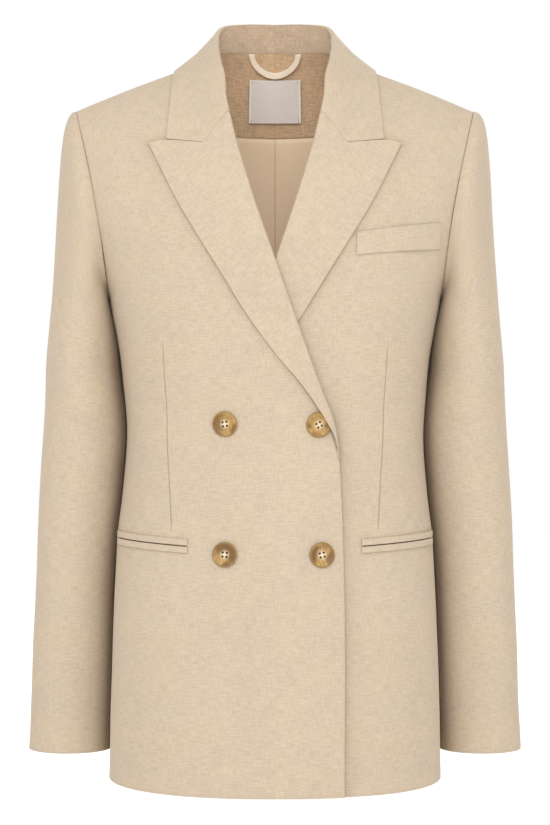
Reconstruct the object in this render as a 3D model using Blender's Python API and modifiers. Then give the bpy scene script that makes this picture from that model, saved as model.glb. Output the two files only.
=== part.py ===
"""A long, double-breasted blazer with peak lapels, filled out as if worn, with nobody in it.

Metres. +Z is up, +X is the wearer's left and the front faces -Y. The origin lies at the shoulders, on the
middle line. Every wall of cloth is a skin, worked out from the girths and edges in the tables below, that
Solidify thickens behind it. A front is worked out for the wearer's left and mirrored for the right, so
"out" in a table means away from the middle line, towards the front's own side.
"""

import math
from collections import namedtuple

import bmesh
import bpy
import numpy as np
from mathutils import Vector

# ---------------------------------------------------------------- cloth and seams
CLOTH = 0.0016
SATIN = 0.0008
SEAM_GAP = 0.0003
SEAM_LEAN = 0.0003  # how far a wall's inner side leans over its seam where the body bends
LAYER_GAP = 0.0008
LINING_GAP = 0.0018  # the back and its lining are only sewn together at their edges

# ---------------------------------------------------------------- the body
HEM = -0.708
UNDERARM = -0.235
SHOULDER_X = 0.1976
SHOULDER_Z = -0.0461
SHOULDER_SLOPE = 0.429
SHOULDER_CURVE = 0.35
NECK_X = 0.064
NECK_RISE = 0.0535
NECK_BLEND = 0.020  # how softly the two shoulder lines meet behind the neck
NECK_RISE_WIDTH = 0.090
CROWN_LEVEL = 0.55  # above this level the body's surface is read upwards, and below it across
FARTHEST_LEVEL = 0.98  # a section is read no nearer to the shoulder line than this
SOLVE_TURNS = 12  # how often a place that depends on itself is worked out again
BACK_NECK_DROP = 0.148
BACK_NECK_SQUARENESS = 1.6

ARMHOLE_X = 0.1640
ARMHOLE_HOLLOW = 0.0060
ARMHOLE_DEPTH = {-1: 0.062, 1: 0.060}  # -1 is the front and 1 the back
ROUND = {-1: 2.25, 1: 2.30}  # how square a section is, seen from above
CROWN = {-1: 1.90, 1: 2.30}  # how square the chest and the back are, seen from the side

Girth = namedtuple("Girth", "height half_width front_depth back_depth")
GIRTHS = (
    Girth(-0.7080, 0.1650, 0.132, 0.140),
    Girth(-0.6080, 0.1628, 0.129, 0.138),
    Girth(-0.5140, 0.1595, 0.123, 0.131),
    Girth(-0.4650, 0.1563, 0.120, 0.122),
    Girth(-0.4290, 0.1517, 0.118, 0.113),
    Girth(-0.3650, 0.1474, 0.115, 0.104),
    Girth(-0.3320, 0.1500, 0.117, 0.104),
    Girth(-0.2940, 0.1536, 0.121, 0.108),
    Girth(-0.2350, 0.1640, 0.125, 0.115),
)

# ---------------------------------------------------------------- front edge, roll, lapel and collar
# The front's edge and, above the break, the fold of its lapel. A front laps over the middle where out is
# below 0.
EdgePoint = namedtuple("EdgePoint", "height out")
FRONT_EDGE = (
    EdgePoint(-0.7080, -0.0657),
    EdgePoint(-0.5040, -0.0654),
    EdgePoint(-0.4008, -0.0617),
    EdgePoint(-0.3772, -0.0601),
    EdgePoint(-0.3602, -0.0566),
    EdgePoint(-0.3112, -0.0390),
    EdgePoint(-0.2598, -0.0206),
    EdgePoint(-0.2004, 0.0003),
    EdgePoint(-0.1353, 0.0225),
    EdgePoint(-0.0830, 0.0375),
    EdgePoint(-0.0476, 0.0455),
    EdgePoint(0.0000, 0.0545),
    EdgePoint(0.0130, 0.0640),
)
BREAK_HEIGHT = -0.3680
BREAK_ROW = 0.010  # the height over which the front's edge steps back to the lapel's roll
GORGE_HEIGHT = -0.0605
ROLL_RADIUS = 0.0023
ROLL_LEAD = 0.0012
ROLL_SEAM_GAP = 0.0006
BREAK_FULLNESS = 0.0012  # how much wider the roll is at the break, where it passes over a button
BREAK_SOFT_START = -0.352
BREAK_SOFT_END = -0.318
LAPEL_BELLY = 0.0006

# Where the lower front lies deeper, under the front that laps over and under its lapel: from, to.
LAYER_FADE_OUT = (0.070, 0.125)
LAYER_FADE_HEIGHT = (-0.200, -0.090)
LAPEL_FADE_OUT = (0.030, 0.100)
LAPEL_START_HEIGHT = (-0.420, -0.372)
LAPEL_FADE_HEIGHT = (-0.215, -0.110)

OutlinePoint = namedtuple("OutlinePoint", "along out height")
LAPEL_EDGE = (  # from the break to the peak
    OutlinePoint(0.000, -0.0515, -0.3690),
    OutlinePoint(0.110, -0.0345, -0.3338),
    OutlinePoint(0.278, 0.0014, -0.2888),
    OutlinePoint(0.382, 0.0214, -0.2617),
    OutlinePoint(0.576, 0.0548, -0.2081),
    OutlinePoint(0.778, 0.0889, -0.1522),
    OutlinePoint(1.000, 0.1212, -0.0885),
)
LAPEL_TOP = (  # from the roll along the gorge to the notch, then to the peak
    OutlinePoint(0.00, 0.0427, -0.0605),
    OutlinePoint(0.25, 0.0555, -0.0735),
    OutlinePoint(0.50, 0.0676, -0.0902),
    OutlinePoint(0.75, 0.0950, -0.0867),
    OutlinePoint(0.90, 0.1103, -0.0854),
    OutlinePoint(1.00, 0.1212, -0.0885),
)
COLLAR_END = (  # from the fold along the gorge to the notch, then to the collar's corner
    OutlinePoint(0.00, 0.0427, -0.0595),
    OutlinePoint(0.25, 0.0560, -0.0722),
    OutlinePoint(0.50, 0.0680, -0.0894),
    OutlinePoint(1.00, 0.1042, -0.0848),
)

# The collar's fold and leaf edge, at stations from the centre back (0) to the gorge (1).
Station = namedtuple("Station", "along fold_x fold_y fold_z leaf_x leaf_y leaf_z")
COLLAR = (
    Station(0.00, 0.0000, 0.0820, 0.0568, 0.0000, 0.0850, 0.0060),
    Station(0.20, 0.0300, 0.0760, 0.0563, 0.0460, 0.0790, 0.0020),
    Station(0.38, 0.0520, 0.0560, 0.0503, 0.0820, 0.0470, -0.0010),
    Station(0.55, 0.0575, 0.0210, 0.0355, 0.0985, 0.0000, -0.0040),
    Station(0.70, 0.0560, -0.0120, 0.0240, 0.1000, -0.0320, -0.0165),
    Station(0.85, 0.0510, -0.0580, -0.0080, 0.1018, -0.0640, -0.0465),
    Station(0.93, 0.0470, -0.0770, -0.0340, 0.1030, -0.0760, -0.0665),
    Station(1.00, 0.0427, -0.0915, -0.0600, 0.1042, -0.0850, -0.0848),
)
COLLAR_FOLD_RADIUS = 0.0024
COLLAR_SEAT = 0.0010  # the stand's foot stands this far above the neck seam
STAND_INSET = 0.030  # and this share of the way in from it
STAND_FRONT = (0.5, 0.85)  # the stand comes out to the front's edge between these stations
ROLL_FRONT = (0.80, 0.92)  # and takes on the lapel's roll between these

# ---------------------------------------------------------------- sleeves
SleeveSection = namedtuple("SleeveSection", "height inner outer middle_y half_depth")
SLEEVE = (
    SleeveSection(-0.6880, 0.1670, 0.2505, 0.040, 0.0400),
    SleeveSection(-0.6000, 0.1638, 0.2461, 0.034, 0.0440),
    SleeveSection(-0.5000, 0.1605, 0.2411, 0.027, 0.0500),
    SleeveSection(-0.4200, 0.1528, 0.2370, 0.021, 0.0560),
    SleeveSection(-0.3650, 0.1492, 0.2333, 0.017, 0.0600),
    SleeveSection(-0.3000, 0.1555, 0.2294, 0.012, 0.0640),
)
FRONT_SLEEVE_SEAM = math.radians(143)
BACK_SLEEVE_SEAM = math.radians(235)
SLEEVE_SEAM_ANGLE = math.radians(0.8)
HEAD_STAND = 0.018  # how far the sleeve's head reaches out past the armhole at the shoulder
HEAD_RISE = 0.0015
UNDERARM_STAND = 0.004
HEAD_FORWARD = 0.010
HEAD_TUCK = 0.91  # how far the head's outer side comes back in at the biceps, as a share of its stand
HEAD_FALL = 0.67  # how straight it drops there, as a share of its height
HEAD_PACE = 0.55  # its rows lie closer at the armhole the smaller this is

# ---------------------------------------------------------------- pockets, inside, loop and buttons
WELT = (  # the breast welt's corners: out, height
    ((0.0776, -0.1976), (0.1592, -0.1888)),
    ((0.0774, -0.1756), (0.1587, -0.1635)),
)
JET_INNER = 0.0826
JET_OUTER = 0.1535
JET_HEIGHT = -0.4732
JET_RISE = 0.0040
JET_WIDTH = 0.0062
JET_SLIT = 0.0010

FACING_FOOT = -0.0592
FACING_FOOT_CURVE = 1.2
FACING_FOOT_WIDTH = 0.05
FACING_INSIDE = -(2 * CLOTH + LINING_GAP)
LINING_HEM = HEM + 0.025
INSIDE_SHARE = 0.985  # how much of the way to the armhole the lining and the facing reach
LINING_START = 0.002  # and how far from the middle, as a share, the two linings' seam keeps them
LINING_LOW_SHARE = 0.75  # the share of the lining's rows below the underarm
LABEL_HALF_WIDTH = 0.0278
LABEL_TOP = -0.0005
LABEL_FOOT = -0.0442
LABEL_THICKNESS = 0.0006
LABEL_SEAT = 0.0022  # the label and the loop bridge the hollow of the facing behind them
LOOP_HALF_SPAN = 0.0270
LOOP_DROP = 0.0150
LOOP_TAPE = 0.0064
LOOP_THICKNESS = 0.0010
LOOP_SEAT = 0.0032
LOOP_END = 0.0030  # how far below the neck seam the loop's ends are
LOOP_ROUND = 0.8

ButtonPlace = namedtuple("ButtonPlace", "name out height")
BUTTONS = (
    ButtonPlace("upper_outer", 0.0470, -0.3573),
    ButtonPlace("upper_edge", -0.0412, -0.3580),
    ButtonPlace("lower_outer", 0.0470, -0.4803),
    ButtonPlace("lower_edge", -0.0440, -0.4806),
)
BUTTON_SEAT = 0.0005
BUTTON_HOLE_RADIUS = 0.0009
BUTTON_HOLE_SPACING = 0.0019
BUTTON_HOLE_SIDES = 8
BUTTON_DRILL = 0.01
BUTTON_STEPS = 20
BUTTON_MERGE = 0.00005
BUTTON_PROFILE = (  # radius, height, from the middle of the face round the rim to the middle of the back
    (0.0000, 0.0023),
    (0.0050, 0.0021),
    (0.0082, 0.0017),
    (0.0098, 0.0026),
    (0.0110, 0.0026),
    (0.0120, 0.0017),
    (0.0110, 0.0006),
    (0.0085, 0.0000),
    (0.0000, 0.0000),
)

# ---------------------------------------------------------------- how finely each piece is cut up
HEM_ROWS = 8
BREAK_ROWS = 1
CHEST_ROWS = 3
LOW_ROWS = HEM_ROWS + BREAK_ROWS + CHEST_ROWS
HIGH_ROWS = 9
BODY_ROWS = LOW_ROWS + HIGH_ROWS
UNDERARM_ROW = LOW_ROWS / BODY_ROWS
FRONT_COLUMNS = 12
BACK_COLUMNS = 10
LEAD_COLUMNS = 1
BEND_COLUMNS = 4
ROLL_COLUMNS = LEAD_COLUMNS + BEND_COLUMNS
LEAF_COLUMNS = 8
LAPEL_COLUMNS = ROLL_COLUMNS + LEAF_COLUMNS
LAPEL_ROWS = 18
STAND_COLUMNS = 2
FOLD_COLUMNS = 4
COLLAR_COLUMNS = STAND_COLUMNS + FOLD_COLUMNS + LEAF_COLUMNS
COLLAR_ROWS = 24
HEAD_ROWS = 6
ARM_ROWS = 8
TOP_SLEEVE_COLUMNS = 14
UNDER_SLEEVE_COLUMNS = 6
JET_COLUMNS = 8
WELT_COLUMNS = 6
WELT_ROWS = 2
LINING_ROWS = 12
FACING_ROWS = 6
LABEL_COLUMNS = 6
LABEL_ROWS = 3
LOOP_ROWS = 14

# ---------------------------------------------------------------- finishes: colour, roughness
SUITING = ((0.70, 0.58, 0.43), 0.9)
LINING = ((0.56, 0.42, 0.26), 0.35)
LABEL = ((0.56, 0.54, 0.50), 0.35)
TAPE = ((0.86, 0.78, 0.64), 0.7)
HORN = ((0.42, 0.28, 0.12), 0.25)


# ---------------------------------------------------------------- curves
def through(at, knots, values):
    """A smooth curve through values at rising knots, read at the places given."""
    knots = np.asarray(knots, float)
    values = np.asarray(values, float)
    slopes = np.gradient(values, knots, axis=0)
    at = np.clip(at, knots[0], knots[-1])
    i = np.clip(np.searchsorted(knots, at) - 1, 0, len(knots) - 2)
    span = knots[i + 1] - knots[i]
    t = (at - knots[i]) / span
    if values.ndim > 1:
        span = span[..., None]
        t = t[..., None]
    return (
        values[i] * (1 + 2 * t) * (1 - t) ** 2
        + slopes[i] * span * t * (1 - t) ** 2
        + values[i + 1] * t**2 * (3 - 2 * t)
        - slopes[i + 1] * span * t**2 * (1 - t)
    )


def column(table, name):
    return [getattr(row, name) for row in table]


def read(table, key, name, at):
    """A smooth reading of one column of a table whose key column rises."""
    return through(at, column(table, key), column(table, name))


def ease(at, start, end):
    """0 before start, 1 after end, and a soft step between."""
    t = np.clip((at - start) / (end - start), 0, 1)
    return t * t * (3 - 2 * t)


def unit(vectors):
    return vectors / np.linalg.norm(vectors, axis=1)[:, None]


def by_side(pair, side):
    return np.where(np.asarray(side) < 0, pair[-1], pair[1])


# ---------------------------------------------------------------- the body's surface
def top_height(x):
    """The height of the shoulder line, which rises to the neck."""
    inward = math.hypot(SHOULDER_X, NECK_BLEND) - np.hypot(x, NECK_BLEND)
    line = SHOULDER_Z + SHOULDER_SLOPE * inward - SHOULDER_CURVE * inward**2
    return line + NECK_RISE * (1 - ease(np.abs(x), 0, NECK_RISE_WIDTH))


def height_at(x, level):
    """Level 0 is the underarm and level 1 the shoulder line."""
    return UNDERARM + (top_height(x) - UNDERARM) * level


def level_of(x, height):
    return (height - UNDERARM) / (top_height(x) - UNDERARM)


def girth(name, height):
    return read(GIRTHS, "height", name, height)


def depth(height, side):
    return np.where(np.asarray(side) < 0, girth("front_depth", height), girth("back_depth", height))


def armhole_round(height):
    """0 at the top and foot of the armhole and 1 halfway up."""
    middle = (SHOULDER_Z + UNDERARM) / 2
    half = (SHOULDER_Z - UNDERARM) / 2
    return np.clip(1 - ((height - middle) / half) ** 2, 0, 1)


def armhole_out(height):
    """How far out the armhole's edge is: it leans out to the shoulder and hollows in between."""
    share = (height - UNDERARM) / (SHOULDER_Z - UNDERARM)
    return ARMHOLE_X + (SHOULDER_X - ARMHOLE_X) * share - ARMHOLE_HOLLOW * armhole_round(height)


def armhole_y(height, side):
    return by_side(ARMHOLE_DEPTH, side) * np.sqrt(armhole_round(height))


def armhole_x(level):
    x = np.full(np.shape(level), ARMHOLE_X)
    for _ in range(SOLVE_TURNS):
        x = armhole_out(height_at(x, level))
    return x


def crown(level, side):
    """How much of the body's depth is left at a level."""
    power = by_side(CROWN, side)
    return np.clip(1 - np.clip(level, 0, 1) ** power, 0, 1) ** (1 / power)


def reach(level, side):
    """Where a section above the underarm would close, so that it meets the armhole's edge on the way."""
    level = np.clip(level, 0, FARTHEST_LEVEL)
    x = armhole_x(level)
    share = armhole_y(height_at(x, level), side) / (depth(UNDERARM, side) * crown(level, side))
    power = by_side(ROUND, side)
    return x / (1 - np.clip(share, 0, 0.97) ** power) ** (1 / power)


def section(x, height, side):
    """(half width, depth) of the section that runs through this place."""
    level = level_of(x, height)
    is_low = height < UNDERARM
    half_width = np.where(is_low, girth("half_width", height), reach(level, side))
    full_depth = np.where(is_low, depth(height, side), depth(UNDERARM, side) * crown(level, side))
    return half_width, full_depth


def body_y(x, height, side):
    half_width, full_depth = section(x, height, side)
    power = by_side(ROUND, side)
    share = np.clip(1 - np.abs(x / half_width) ** power, 0, 1) ** (1 / power)
    return np.where(np.asarray(side) < 0, -1.0, 1.0) * full_depth * share


def outside(x, y, z, side):
    """Above 0 outside the body's surface, and 0 on it."""
    power = by_side(ROUND, side)
    level = level_of(x, z)
    half_width, full_depth = section(x, z, side)
    across = np.abs(x / half_width) ** power + np.abs(y / np.maximum(full_depth, 1e-4)) ** power - 1
    share = np.clip(1 - np.abs(x / half_width) ** power, 1e-3, 1) ** (1 / power)
    bend = by_side(CROWN, side)
    upwards = np.clip(level, 0, 3) ** bend + np.abs(y / (depth(UNDERARM, side) * share)) ** bend - 1
    return np.where(level < CROWN_LEVEL, across, upwards)


def slope_of_outside(points, step=2e-5):
    found = np.empty_like(points)
    side = np.where(points[:, 1] < 0, -1, 1)
    for axis in range(3):
        ahead = points.copy()
        behind = points.copy()
        ahead[:, axis] += step
        behind[:, axis] -= step
        found[:, axis] = (outside(*ahead.T, side) - outside(*behind.T, side)) / (2 * step)
    return found


def outward(points):
    return unit(slope_of_outside(points))


def stand_off(points, height):
    """The points moved out from the body's surface, or in where the height is negative."""
    return points + outward(points) * np.reshape(height, (-1, 1))


def kept_clear(points, least):
    """The points, with any that lie nearer to the body than the least height moved out to it."""
    for _ in range(4):
        slope = slope_of_outside(points)
        steepness = np.linalg.norm(slope, axis=1)
        distance = outside(*points.T, np.where(points[:, 1] < 0, -1, 1)) / steepness
        points = points + slope / steepness[:, None] * np.clip(least - distance, 0, None)[:, None]
    return points


def angle_of(x, half_width, power):
    share = np.clip(np.abs(x) / half_width, 0, 1)
    return np.sign(x) * np.arcsin(share ** (power / 2))


def on_section(angle, half_width, full_depth, side):
    """(x, y) on a section: angle 0 is its middle and a quarter turn its side."""
    power = by_side(ROUND, side)
    x = np.sign(angle) * half_width * np.abs(np.sin(angle)) ** (2 / power)
    y = np.where(np.asarray(side) < 0, -1.0, 1.0) * full_depth * np.clip(np.cos(angle), 0, 1) ** (2 / power)
    return x, y


# ---------------------------------------------------------------- fronts and backs
def row_places(v, side):
    """(height if below the underarm, level if above it, whether above), from the hem (0) to the top (1)."""
    shares = np.array([0, HEM_ROWS, HEM_ROWS + BREAK_ROWS, LOW_ROWS]) / BODY_ROWS
    heights = [HEM, BREAK_HEIGHT - BREAK_ROW, BREAK_HEIGHT, UNDERARM]
    high = np.clip((v - UNDERARM_ROW) / (1 - UNDERARM_ROW), 0, 1)
    level = np.sin(high * math.pi / 2) ** (2 / by_side(CROWN, side))
    return np.interp(v, shares, heights), level, v > UNDERARM_ROW


def edge_out(height):
    return read(FRONT_EDGE, "height", "out", height)


def edge_slant(height, step=0.005):
    """How much wider a strip across the edge is when it is measured level."""
    return np.hypot(1, (edge_out(height + step) - edge_out(height - step)) / (2 * step))


def roll_radius(height, is_under):
    """The roll widens at the break of the front that laps over."""
    fullness = BREAK_FULLNESS * (1 - ease(height, BREAK_SOFT_START, BREAK_SOFT_END))
    return ROLL_RADIUS + fullness * (1 - is_under)


def panel_edge_out(height, is_under):
    """The front's own edge. Above the break it stops where the lapel's roll begins."""
    set_back = roll_radius(height, is_under) + ROLL_LEAD + ROLL_SEAM_GAP
    above_break = ease(height, BREAK_HEIGHT - BREAK_ROW, BREAK_HEIGHT)
    return edge_out(height) + set_back * edge_slant(height) * above_break


def sink(out, height, is_under):
    """How far the lower front lies inside the body's surface, to leave room for the front that laps over."""
    one_layer = CLOTH + LAYER_GAP
    beside = 1 - ease(out, *LAYER_FADE_OUT)
    below_neck = 1 - ease(height, *LAYER_FADE_HEIGHT)
    lapel_layer = 2 * ROLL_RADIUS - CLOTH + LAPEL_BELLY + LAYER_GAP
    in_lap = 1 - ease(out, *LAPEL_FADE_OUT)
    at_lapel = ease(height, *LAPEL_START_HEIGHT) * (1 - ease(height, *LAPEL_FADE_HEIGHT))
    return is_under * (one_layer * beside * below_neck + lapel_layer * in_lap * at_lapel)


def back_top(x):
    """The level at which the back ends: under the neck seam, and at the shoulder seam outside it."""
    inside = np.clip(1 - (x / NECK_X) ** 2, 0, 1) ** BACK_NECK_SQUARENESS
    return 1 - BACK_NECK_DROP * inside


def panel_points(u, v, side, start_out, top_level):
    """A front or a back: u from the middle edge to the side seam and armhole, v from the hem to the top."""
    low_height, row_level, is_high = row_places(v, side)
    half_width = np.where(is_high, reach(row_level, side), girth("half_width", low_height))
    end = angle_of(np.where(is_high, armhole_x(row_level), half_width), half_width, ROUND[side])
    start_x = start_out(low_height)
    for _ in range(SOLVE_TURNS):
        start_x = np.where(is_high, start_out(height_at(start_x, row_level)), start_x)
    start = angle_of(start_x, half_width, ROUND[side])
    angle = start + (end - start) * u
    x, _ = on_section(angle, half_width, half_width, side)
    level = row_level * (1 - (1 - top_level(x)) * row_level)
    full_depth = np.where(is_high, depth(UNDERARM, side) * crown(level, side), depth(low_height, side))
    x, y = on_section(angle, half_width, full_depth, side)
    height = np.where(is_high, height_at(x, level), low_height)
    return np.stack([x, y + side * (SEAM_GAP / 2 + SEAM_LEAN), height], axis=1)


def front_skin(is_under):
    def skin(u, v):
        points = panel_points(u, v, -1, lambda height: panel_edge_out(height, is_under), np.ones_like)
        return stand_off(points, -sink(points[:, 0], points[:, 2], is_under))

    return skin


def back_skin(u, v):
    middle_seam = SEAM_GAP / 2 + 1.5 * SEAM_LEAN
    return panel_points(u, v, 1, lambda height: np.full_like(height, middle_seam), back_top)


# ---------------------------------------------------------------- inside the back
def crown_angle(level):
    """Rows a steady angle apart lie evenly round the crown of the back."""
    return np.arcsin(np.clip(level, 0, 1) ** (CROWN[1] / 2))


def back_band(low_edge, high_edge, height_off, first=0.0, low_share=0.0):
    """A skin inside the back between two edges, each a height worked out from x; u runs to the armhole.

    low_share is the share of its rows that lie below the underarm.
    """

    def skin(u, v):
        share = (first + (1 - first) * u) * INSIDE_SHARE
        share = np.where(first == 0, np.maximum(share, SEAM_GAP / ARMHOLE_X + LINING_START), share)
        x = share * ARMHOLE_X
        side = np.ones_like(u)
        in_low = np.clip(v / max(low_share, 1e-6), 0, 1)
        in_high = np.clip((v - low_share) / (1 - low_share), 0, 1)
        for _ in range(SOLVE_TURNS):
            low = low_edge(x)
            first_angle = crown_angle(level_of(x, np.maximum(low, UNDERARM)))
            angle_up = first_angle + (crown_angle(level_of(x, high_edge(x))) - first_angle) * in_high
            high_height = height_at(x, np.sin(angle_up) ** (2 / CROWN[1]))
            height = np.where(v < low_share, low + (UNDERARM - low) * in_low, high_height)
            half_width, full_depth = section(x, height, side)
            end_x = np.where(height < UNDERARM, half_width, armhole_out(height))
            angle = angle_of(end_x, half_width, ROUND[1]) * share
            x, y = on_section(angle, half_width, full_depth, side)
        return stand_off(np.stack([x, y, height], axis=1), np.full(len(u), height_off))

    return skin


def facing_foot(x):
    return FACING_FOOT + FACING_FOOT_CURVE * x**2 * np.exp(-((x / FACING_FOOT_WIDTH) ** 2))


def facing_top(x):
    return height_at(x, back_top(x)) - SEAM_GAP - SEAM_LEAN


def lining_foot(x):
    return np.full_like(x, LINING_HEM)


def lining_top(x):
    return facing_foot(x) - SEAM_GAP - SEAM_LEAN


def inside_back(out, height, height_off):
    y = body_y(out, height, np.ones_like(out))
    return stand_off(np.stack([out, y, height], axis=1), np.full(len(out), height_off))


def label_skin(u, v):
    out = LABEL_HALF_WIDTH * (2 * u - 1)
    height = LABEL_FOOT + (LABEL_TOP - LABEL_FOOT) * v
    return inside_back(out, height, FACING_INSIDE - LABEL_SEAT)


def loop_skin(u, v):
    """A tape bent into a U in its own plane, with both ends at the neck seam."""
    turn = math.pi * v
    across = (u - 0.5) * LOOP_TAPE
    seam = height_at(LOOP_HALF_SPAN, back_top(LOOP_HALF_SPAN)) - LOOP_END
    out = -np.cos(turn) * (LOOP_HALF_SPAN + across)
    height = seam - np.sin(turn) ** LOOP_ROUND * (LOOP_DROP + across)
    return inside_back(out, height, FACING_INSIDE - LOOP_SEAT)


# ---------------------------------------------------------------- lapels
def outline(table, at):
    along = column(table, "along")
    return np.stack([np.interp(at, along, column(table, name)) for name in ("out", "height")], axis=1)


def lapel_edge(p):
    values = np.stack([column(LAPEL_EDGE, "out"), column(LAPEL_EDGE, "height")], axis=1)
    return through(p, column(LAPEL_EDGE, "along"), values)


def roll_line(p):
    height = BREAK_HEIGHT + (GORGE_HEIGHT - BREAK_HEIGHT) * p
    return np.stack([edge_out(height), height], axis=1)


def lapel_flat(p, q):
    """The lapel seen from the front: p from the break to the gorge, q from the roll to the outer edge."""
    last = np.ones_like(p)
    flat = roll_line(p) + (lapel_edge(p) - roll_line(p)) * q[:, None]
    straight_top = roll_line(last) + (lapel_edge(last) - roll_line(last)) * q[:, None]
    return flat + (outline(LAPEL_TOP, q) - straight_top) * (p**3)[:, None]


def leaf_height(q, radius):
    """How high the leaf's skin stands over its front, from the roll (0) to the outer edge (1)."""
    at_roll = 2 * radius - CLOTH
    at_edge = CLOTH + LAYER_GAP + 2 * (radius - ROLL_RADIUS)
    return at_roll + (at_edge - at_roll) * ease(q, 0, 1) + LAPEL_BELLY * np.sin(math.pi * q)


def on_front(flat, height, is_under):
    x = flat[:, 0]
    z = flat[:, 1]
    points = np.stack([x, body_y(x, z, -1) - SEAM_GAP / 2 - SEAM_LEAN, z], axis=1)
    return stand_off(points, height - sink(x, z, is_under))


def lapel_skin(is_under):
    def skin(u, v):
        p = v
        step = u * LAPEL_COLUMNS
        lead = np.clip(step / LEAD_COLUMNS, 0, 1)
        bend = (np.clip((step - LEAD_COLUMNS) / BEND_COLUMNS, 0, 1) - 0.5) * math.pi
        q = np.clip((step - ROLL_COLUMNS) / LEAF_COLUMNS, 0, 1)
        in_roll = step < ROLL_COLUMNS
        roll = roll_line(p)
        radius = roll_radius(roll[:, 1], is_under)
        set_in = np.where(in_roll, radius * (1 - np.cos(bend)) + ROLL_LEAD * (1 - lead), radius * (1 - q))
        height = np.where(in_roll, radius - CLOTH + radius * np.sin(bend), leaf_height(q, radius))
        flat = lapel_flat(p, q)
        flat[:, 0] += set_in * edge_slant(roll[:, 1])
        return on_front(flat, height, is_under)

    return skin


# ---------------------------------------------------------------- collar
def neck_seam(w):
    """The seam at the stand's foot, from the centre back (0) over the shoulder (0.5) to the gorge (1)."""
    x_back = NECK_X * np.sin(np.clip(w / 0.5, 0, 1) * math.pi / 2)
    z_back = height_at(x_back, back_top(x_back))
    back = np.stack([x_back, body_y(x_back, z_back, 1), z_back], axis=1)
    gorge_x = panel_edge_out(GORGE_HEIGHT, 1.0)
    gorge_angle = np.arcsin(level_of(gorge_x, GORGE_HEIGHT) ** (CROWN[-1] / 2))
    angle = math.pi / 2 + (gorge_angle - math.pi / 2) * np.clip((w - 0.5) / 0.5, 0, 1)
    level = np.sin(angle) ** (2 / CROWN[-1])
    x_front = np.full_like(w, NECK_X)
    for _ in range(SOLVE_TURNS):
        z_front = height_at(x_front, level)
        x_front = panel_edge_out(z_front, 1.0) - SEAM_GAP
    front = np.stack([x_front, body_y(x_front, z_front, -1), z_front], axis=1)
    return np.where((w < 0.5)[:, None], back, front)


def stand_foot(w):
    at_front = ease(w, *STAND_FRONT)
    foot = stand_off(neck_seam(w), -CLOTH - (CLOTH + LINING_GAP) * (1 - at_front))
    foot[:, :2] *= (1 - STAND_INSET * (1 - at_front))[:, None]
    foot[:, 0] -= (SEAM_GAP + SEAM_LEAN) * at_front
    foot[:, 2] += COLLAR_SEAT
    return foot


def station_line(name, w):
    values = np.stack([column(COLLAR, f"{name}_{axis}") for axis in "xyz"], axis=1)
    return through(w, column(COLLAR, "along"), values)


def lapel_roll(out, height, lead, turn):
    """The lapel's roll carried on above the gorge: flat along its lead and then round its bend."""
    bend = turn - math.pi / 2
    set_in = ROLL_RADIUS * (1 - np.cos(bend)) + ROLL_LEAD * (1 - lead)
    flat = np.stack([out + set_in * edge_slant(height), height], axis=1)
    return on_front(flat, ROLL_RADIUS - CLOTH + ROLL_RADIUS * np.sin(bend), 0.0)


def collar_half(u, w):
    """The collar's skin, up the stand, round the fold and down the fall."""
    step = u * COLLAR_COLUMNS
    rise = np.clip(step / STAND_COLUMNS, 0, 1)[:, None]
    turn = (np.clip((step - STAND_COLUMNS) / FOLD_COLUMNS, 0, 1) * math.pi)[:, None]
    q = np.clip((step - STAND_COLUMNS - FOLD_COLUMNS) / LEAF_COLUMNS, 0, 1)
    foot = stand_foot(w)
    fold = kept_clear(station_line("fold", w), np.full(len(w), ROLL_RADIUS - CLOTH))
    leaf = station_line("leaf", w)
    down = unit(unit(foot - fold) + unit(leaf - fold))
    out = outward(fold)
    out = unit(out - down * np.sum(out * down, axis=1)[:, None])
    hub = fold + down * COLLAR_FOLD_RADIUS
    stand = foot + (hub - out * COLLAR_FOLD_RADIUS - foot) * rise
    bend = hub - (out * np.cos(turn) + down * np.sin(turn)) * COLLAR_FOLD_RADIUS
    at_front = ease(w, *ROLL_FRONT)[:, None]
    rolled = lapel_roll(edge_out(fold[:, 2]), fold[:, 2], rise[:, 0], turn[:, 0])
    stand = stand + (rolled - stand) * at_front
    bend = bend + (rolled - bend) * at_front
    crest = hub + out * COLLAR_FOLD_RADIUS
    fall = crest + (leaf - crest) * q[:, None]
    last = np.ones_like(w)
    last_fold = station_line("fold", last)
    straight_end = last_fold + (station_line("leaf", last) - last_fold) * q[:, None]
    end = on_front(outline(COLLAR_END, q), leaf_height(q, ROLL_RADIUS), 0.0)
    fall = fall + (end - straight_end) * (w**4)[:, None]
    fall = kept_clear(fall, leaf_height(q, ROLL_RADIUS))
    in_stand = (step <= STAND_COLUMNS)[:, None]
    in_fold = (step <= STAND_COLUMNS + FOLD_COLUMNS)[:, None]
    return np.where(in_stand, stand, np.where(in_fold, bend, fall))


def collar_skin(u, v):
    w = v * 2 - 1
    points = collar_half(u, np.abs(w))
    points[:, 0] *= np.where(w < 0, -1, 1)
    return points


# ---------------------------------------------------------------- sleeves
def armhole_ring(angle):
    """A place on the armhole, from 0 at the shoulder forwards: a quarter turn is the front."""
    middle = (SHOULDER_Z + UNDERARM) / 2
    half = (SHOULDER_Z - UNDERARM) / 2
    z = middle + half * np.cos(angle)
    side = np.where(np.sin(angle) > 0, -1, 1)
    y = -np.sin(angle) * by_side(ARMHOLE_DEPTH, side)
    return np.stack([armhole_out(z) + SEAM_GAP, y, z], axis=1)


def sleeve_ring(angle, height):
    inner, outer, middle_y, half_depth = (
        read(SLEEVE, "height", name, height) for name in ("inner", "outer", "middle_y", "half_depth")
    )
    x = (inner + outer) / 2 + (outer - inner) / 2 * np.cos(angle)
    return np.stack([x, middle_y - half_depth * np.sin(angle), height], axis=1)


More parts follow.
